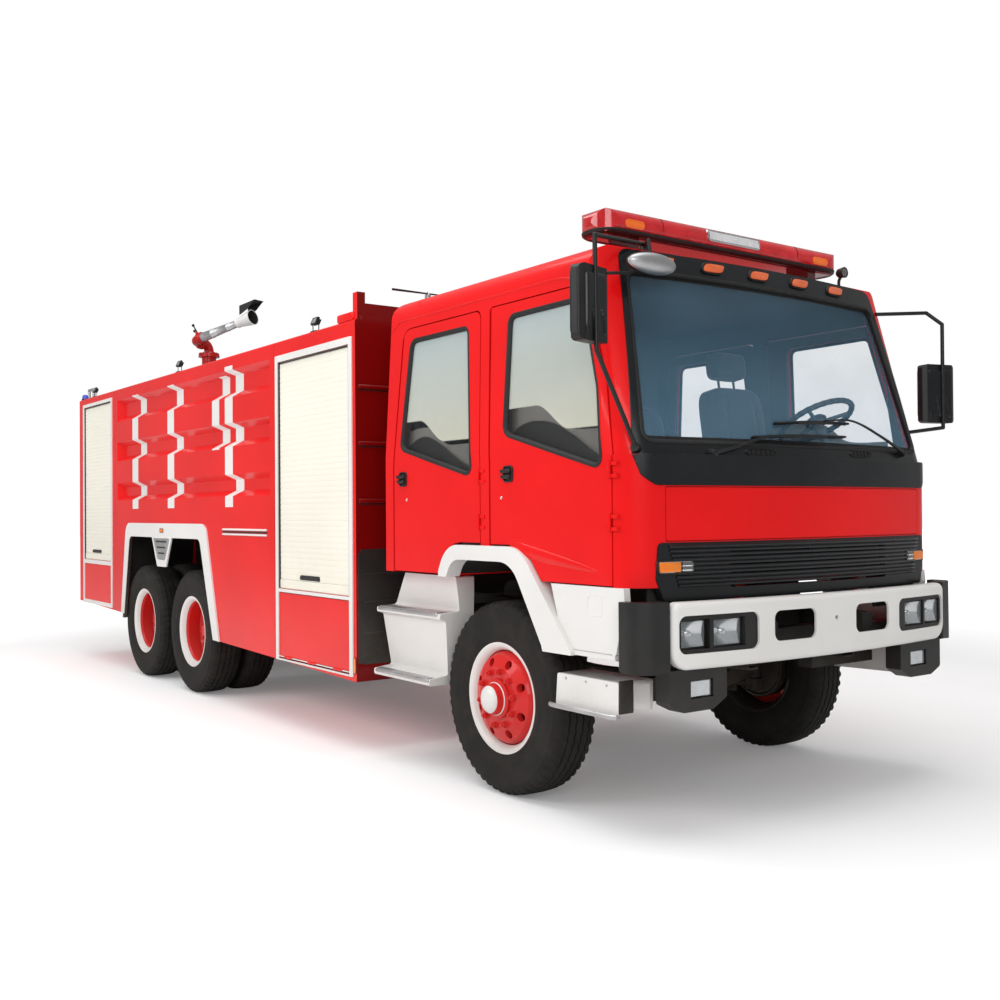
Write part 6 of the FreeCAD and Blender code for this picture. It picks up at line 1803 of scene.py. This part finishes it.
def workLampParts():
    # each lamp: a foot plate, a yoke of two ears, and a tilted head with fins, bezel and clear glass
    parts = []
    tilt = math.radians(24)
    lean = np.array([[1, 0, 0], [0, math.cos(tilt), -math.sin(tilt)], [0, math.sin(tilt), math.cos(tilt)]])
    line = evenly(roundedOutline([(-0.036, -0.024, 0.006), (0.036, -0.024, 0.006), (0.036, 0.024, 0.006),
        (-0.036, 0.024, 0.006)], 5), 60)
    outward = lambda u, z, lift: xyz(u, 0.014 + lift, z)
    head = [softBox((-0.04, -0.004, -0.028), (0.04, 0.0142, 0.028), 0.004, steps=3),
        softBox((-0.032, -0.014, -0.021), (0.032, -0.002, 0.021), 0.005, steps=3),
        band(line, outward, [-0.001, 0.003, 0.0034, 0.0], [-0.001, 0.0, 0.003, 0.005]),
        patch(line, outward, [0.0008, 0.0008, -0.001], [0.01, 0.004, 0.003], finish=1),
        patch(line, outward, [0.0026, 0.0022, 0.001], [0.012, 0.005, 0.0035], finish=2)]
    head += [softBox((-0.034 + 0.0136 * k, -0.019, -0.02), (-0.0305 + 0.0136 * k, -0.012, 0.02), 0.001,
        steps=2) for k in range(6)]
    for x in (-2.015, -4.637, -7.146):
        middle = (axleX + x, 1.216, 2.85)
        parts += [moved(p, lean, middle) for p in head]
        parts.append(softBox((axleX + x - 0.044, 1.192, 2.7795), (axleX + x + 0.044, 1.24, 2.785), 0.002,
            steps=2))
        for side in (-1, 1):
            ear = smoothPath([(axleX + x + side * 0.04, 1.216, 2.783),
                (axleX + x + side * 0.0435, 1.216, 2.8), (axleX + x + side * 0.0435, 1.216, 2.852)], 5)
            parts.append(pipe(ear, 0.0055, sides=8, up=(0, 1, 0), squeeze=0.5))
            knob = [(-0.006, 0.0), (-0.006, 0.007), (0.006, 0.007), (0.006, 0.0)]
            parts.append(lathe(knob, (axleX + x + side * 0.0385, 1.216, 2.85), axis=0, steps=12))
    return bothSides(parts)


piece("workLamps", workLampParts(), [blackPlastic, chrome, glassPlate], "chassis",
    replaces=("roof_lamps",))

aerial = {"x": -0.985, "y": (-1.215, -0.86), "z": 2.902}


def aerialParts():
    # rod across the cab's rear roof, on a clip with two jaws
    line = np.stack([np.full(16, axleX + aerial["x"]), np.linspace(*aerial["y"], 16),
        np.full(16, aerial["z"])], axis=1)
    thick = np.linspace(0.0075, 0.0045, 16)
    parts = [pipe(line, thick, sides=10)]
    y = -0.96
    parts.append(softBox((axleX + aerial["x"] - 0.02, y - 0.012, 2.82),
        (axleX + aerial["x"] + 0.02, y + 0.012, 2.898), 0.004, finish=1))
    parts.append(pipe([(axleX + aerial["x"] - 0.016, y, 2.893), (axleX + aerial["x"], y, 2.915),
        (axleX + aerial["x"] + 0.016, y, 2.893)], 0.0045, sides=8, up=(0.1, 1.0, 0.1), finish=1))
    return parts


piece("roofAerial", aerialParts(), [blackPlastic, brushed], "cab")


def hatchParts():
    # on each roof lid: a grab bar on two feet and six clamp dogs round its rim
    parts = []
    for x in (-3.3, -5.3):
        path = smoothPath([(x - 0.11, 0, 2.803), (x - 0.105, 0, 2.845), (x - 0.06, 0, 2.858),
            (x + 0.06, 0, 2.858), (x + 0.105, 0, 2.845), (x + 0.11, 0, 2.803)], 6)
        parts.append(pipe(path, 0.008, sides=10, up=(0.05, 1.0, 0.02)))
        for k in range(6):
            turn = math.pi * (2 * k + 1) / 6
            cx, cy = x + 0.262 * math.cos(turn), 0.262 * math.sin(turn)
            parts.append(softBox((cx - 0.014, cy - 0.014, 2.806), (cx + 0.014, cy + 0.014, 2.824), 0.005))
    return atAxle(parts)


piece("roofLids", hatchParts(), [brushed], "chassis")

gun = {"x": -7.05, "pitchZ": 3.43, "yaw": math.radians(24.0), "pitch": math.radians(12.0), "pipe": 0.052,
    "bend": 0.09, "barrelY": -0.2403}


def gunTurn(parts, pitch):
    # from the monitor's own axes, straight ahead and level, to its parked heading and pitch
    yaw = np.array([[math.cos(gun["yaw"]), -math.sin(gun["yaw"]), 0],
        [math.sin(gun["yaw"]), math.cos(gun["yaw"]), 0], [0, 0, 1]])
    tip = np.array([[math.cos(pitch), 0, -math.sin(pitch)], [0, 1, 0], [math.sin(pitch), 0, math.cos(pitch)]])
    place = (axleX + gun["x"], 0.0, gun["pitchZ"])
    return [moved(p, yaw @ tip, place) for p in parts]


def gunBarrelParts():
    # joint flange, elbow, lugged coupling, tapered barrel with two bands, nozzle with deflector, and lever
    joint = -gun["bend"] - 0.0303
    side = joint - 0.03
    red, dark = [], []
    red.append(lathe([(joint, 0.0), (joint, 0.068), (joint - 0.006, 0.0695), (joint - 0.024, 0.0695),
        (joint - 0.03, 0.066), (joint - 0.034, 0.052), (joint - 0.034, 0.0)], (0, 0, 0), axis=1, steps=56))
    turn = np.linspace(0, math.pi / 2, 18)
    elbow = np.stack([gun["bend"] * (1 - np.cos(turn)), side - gun["bend"] * np.sin(turn), np.zeros(18)],
        axis=1)
    red.append(pipe(elbow, gun["pipe"], sides=28, up=(0, 0, 1)))
    y = gun["barrelY"]
    start = gun["bend"]
    red.append(lathe([(start - 0.002, 0.0), (start - 0.002, 0.062), (start + 0.004, 0.066),
        (start + 0.052, 0.066), (start + 0.06, 0.061), (start + 0.06, 0.0)], (0, y, 0), axis=0, steps=56))
    for k in range(4):
        angle = math.pi * (2 * k + 1) / 4
        lug = [(start + 0.012, 0.0), (start + 0.012, 0.01), (start + 0.044, 0.01), (start + 0.044, 0.0)]
        red.append(lathe(lug, (0, y + 0.066 * math.cos(angle), 0.066 * math.sin(angle)), axis=0, steps=12))
    barrelLine = [(start + 0.058, 0.0), (start + 0.058, 0.052), (start + 0.2, 0.048), (start + 0.204, 0.0505),
        (start + 0.216, 0.0505), (start + 0.22, 0.0475), (start + 0.43, 0.042), (start + 0.434, 0.0445),
        (start + 0.446, 0.0445), (start + 0.45, 0.0415), (start + 0.58, 0.0385), (start + 0.58, 0.0)]
    dark.append(turned(barrelLine, (0, y, 0), axis=0, steps=48, closeRing=False, finish=4))
    tip = start + 0.6
    nozzle = [(tip - 0.02, 0.0), (tip - 0.02, 0.0515), (tip + 0.028, 0.052), (tip + 0.034, 0.0535),
        (tip + 0.19, 0.0805), (tip + 0.2, 0.084), (tip + 0.2, 0.076)]
    mouth = [(tip + 0.2, 0.076), (tip + 0.19, 0.0725), (tip + 0.06, 0.032), (tip + 0.056, 0.0)]
    white = [turned(nozzle, (0, y, 0), axis=0, steps=56, closeRing=False, finish=2)]
    white.append(turned(mouth, (0, y, 0), axis=0, steps=56, closeRing=False, finish=3))
    white.append(turned([(tip + 0.055, 0.0), (tip + 0.055, 0.018), (tip + 0.12, 0.014), (tip + 0.132, 0.0)],
        (0, y, 0), axis=0, steps=24, closeRing=False, finish=4))
    plate = roundedOutline([(tip + 0.08, 0.052, 0.003), (tip + 0.2, 0.084, 0.003), (tip + 0.32, 0.151, 0.003),
        (tip + 0.098, 0.145, 0.003)], 4)
    plateLine = evenly(plate, 60)
    for y0, y1 in ((y - 0.069, y - 0.062), (y + 0.062, y + 0.069)):
        loop = [np.stack([plateLine[:, 0] * 0 + plateLine[:, 0].mean(), np.full(60, y0),
            plateLine[:, 1] * 0 + plateLine[:, 1].mean()], axis=1)]
        for yy in (y0, y1):
            loop.append(np.stack([plateLine[:, 0], np.full(60, yy), plateLine[:, 1]], axis=1))
        loop.append(np.stack([plateLine[:, 0] * 0 + plateLine[:, 0].mean(), np.full(60, y1),
            plateLine[:, 1] * 0 + plateLine[:, 1].mean()], axis=1))
        white.append(surface(np.stack(loop), closeV=True, finish=3))
    white.append(softBox((tip + 0.098, y - 0.07, 0.1435), (tip + 0.322, y + 0.07, 0.1505), 0.003, steps=2,
        finish=3))
    lever = np.array([[start + 0.01, y, 0.04], [start - 0.045, y + 0.022, 0.118],
        [start - 0.09, y + 0.04, 0.19]])
    dark.append(pipe(smoothPath(lever, 8), 0.0072, sides=10, finish=1))
    knob = [(-0.017, 0.0), (-0.015, 0.008), (-0.006, 0.0155), (0.004, 0.016), (0.013, 0.01), (0.0165, 0.0)]
    dark.append(turned(knob, tuple(lever[-1]), axis=2, steps=24, closeRing=False, finish=3))
    return gunTurn(red + dark + white, gun["pitch"])


piece("monitorGun", gunBarrelParts(), [gunRed, darkSteel, whitePaint, rubberSeal, brushed], "monitor_barrel",
    replaces=("monitor_barrel",))


def swivelParts():
    # on the swivel: flange bolts, the joint's clamp ring and the long lever's black knob
    parts = []
    for k in range(8):
        angle = 2 * math.pi * k / 8 + 0.2
        bolt = [(0.0, 0.0), (0.0, 0.011), (0.007, 0.011), (0.009, 0.006), (0.009, 0.0)]
        parts.append(turned([(a - 0.1065, r) for a, r in bolt], (0.094 * math.cos(angle),
            0.094 * math.sin(angle), 0.0), axis=2, steps=6, closeRing=False, finish=1))
    clamp = [(-0.121, 0.062), (-0.121, 0.0715), (-0.112, 0.0725), (-0.103, 0.0715), (-0.101, 0.062)]
    parts.append(turned([(a, r) for a, r in clamp], (0, 0, 0), axis=1, steps=48))
    knob = [(-0.018, 0.0), (-0.016, 0.009), (-0.006, 0.0175), (0.005, 0.0178), (0.014, 0.011), (0.018, 0.0)]
    parts.append(turned(knob, (-0.33, 0.11, 0.19), axis=2, steps=28, closeRing=False, finish=2))
    return gunTurn(parts, 0.0)


piece("swivelFittings", swivelParts(), [gunRed, chrome, rubberSeal], "monitor_swivel")


def cornerLampParts():
    # small forward lamp on the far roof corner: bent foot, round shell and a clear glass
    x, y, z = axleX + 0.8, 0.8, 2.93
    foot = smoothPath([(x - 0.03, y, 2.85), (x - 0.03, y, 2.885), (x - 0.018, y, 2.905)], 6)
    shell = [(-0.042, 0.0), (-0.042, 0.014), (-0.03, 0.026), (0.004, 0.031), (0.012, 0.032), (0.014, 0.029),
        (0.008, 0.026)]
    glass = [(0.009, 0.0265), (0.014, 0.02), (0.017, 0.01), (0.018, 0.0)]
    return [pipe(foot, 0.009, sides=8, up=(0, 1, 0)), lathe(shell, (x, y, z), axis=0, steps=32),
        turned(glass, (x, y, z), axis=0, steps=32, closeRing=False, finish=1)]


piece("cornerLamp", cornerLampParts(), [blackPlastic, clearLens], "cab")
print("roof dressed")


# the floor, the light and the camera


def stageFloor():
    finish, w, put, point = newFinish("paleFloor")
    cloud = w.ramp(w.noise(point, 1.5, 3.0), 0.3, 0.8)
    put("Base Color", w.blend(cloud, (0.84, 0.84, 0.84, 1), (0.86, 0.86, 0.86, 1)))
    put("Roughness", w.plus(w.times(cloud, 0.05), 0.9))
    put("Emission Color", (1, 1, 1, 1))
    path = w.add("LightPath").outputs
    seen = w.most(path["Is Camera Ray"], path["Is Transmission Ray"])
    away = w.add("VectorMath", {0: point}, operation="LENGTH").outputs["Value"]
    fade = w.ramp(away, *floorLook["fade"])
    lift = w.plus(w.times(fade, 1.0 - floorLook["lift"]), floorLook["lift"])
    put("Emission Strength", w.times(seen, lift))
    reach = floorLook["reach"]
    u, v = np.meshgrid(np.linspace(-reach, reach, 9), np.linspace(-reach, reach, 9), indexing="ij")
    grid = np.stack([u, v, np.zeros_like(u)], axis=-1)
    mesh = rawMesh("floor", surface(grid, facing=(0, 0, 1)))
    mesh.materials.append(finish)
    floor = bpy.data.objects.new("floor", mesh)
    bpy.context.scene.collection.objects.link(floor)


def stageWorld():
    world = bpy.data.worlds.new("studio")
    bpy.context.scene.world = world
    world.use_nodes = True
    w = Wires(world.node_tree)
    path = w.add("LightPath").outputs
    seen = w.most(path["Is Camera Ray"], path["Is Transmission Ray"])
    lit = w.plus(w.times(path["Is Glossy Ray"], studio["gloss"] - studio["world"]), studio["world"])
    strength = w.most(seen, lit)
    back = world.node_tree.nodes["Background"]
    back.inputs["Color"].default_value = (1, 1, 1, 1)
    w.feed(back.inputs["Strength"], strength)


def softLamp(name, place, aim, size, power):
    lamp = bpy.data.lights.new(name, "AREA")
    lamp.shape = "RECTANGLE"
    lamp.size, lamp.size_y = size
    lamp.energy = power
    obj = bpy.data.objects.new(name, lamp)
    bpy.context.scene.collection.objects.link(obj)
    obj.location = place
    obj.rotation_euler = (Vector(aim) - Vector(place)).to_track_quat("-Z", "Y").to_euler()


def stageCamera():
    turn, tip, roll = view["turn"], view["tip"], view["roll"]
    forward = Vector((-math.cos(turn) * math.cos(tip), math.sin(turn) * math.cos(tip), math.sin(tip)))
    right = forward.cross(Vector((0, 0, 1))).normalized()
    up = right.cross(forward)
    rightRolled = right * math.cos(roll) + up * math.sin(roll)
    upRolled = up * math.cos(roll) - right * math.sin(roll)
    lens = bpy.data.cameras.new("camera")
    lens.sensor_width = 36
    lens.lens = view["lens"]
    lens.clip_end = 400
    camera = bpy.data.objects.new("camera", lens)
    bpy.context.scene.collection.objects.link(camera)
    frameOf = Matrix((rightRolled, upRolled, -forward)).transposed().to_4x4()
    frameOf.translation = Vector((axleX + view["ahead"], view["side"], view["height"]))
    camera.matrix_world = frameOf
    bpy.context.scene.camera = camera


floorLook = {"reach": 70.0, "lift": 0.14, "fade": (6.0, 15.0)}
studio = {"world": 0.46, "gloss": 0.36}
view = {"ahead": 4.862, "side": -4.684, "height": 1.539, "turn": 0.631, "tip": 0.01, "roll": -0.007,
    "lens": 39.87}
stageFloor()
stageWorld()
softLamp("skySoft", (1.0, -2.0, 11.0), (0.0, 0.0, 0.0), (14.0, 9.0), 1000)
softLamp("frontSoft", (13.0, -7.0, 5.5), (3.0, 0.0, 1.6), (6.0, 5.0), 420)
softLamp("sideSoft", (-1.0, -12.0, 7.0), (-1.0, 0.0, 1.4), (9.0, 4.0), 560)
stageCamera()
bpy.context.scene.view_settings.view_transform = "Standard"
print("floor, light and camera set")
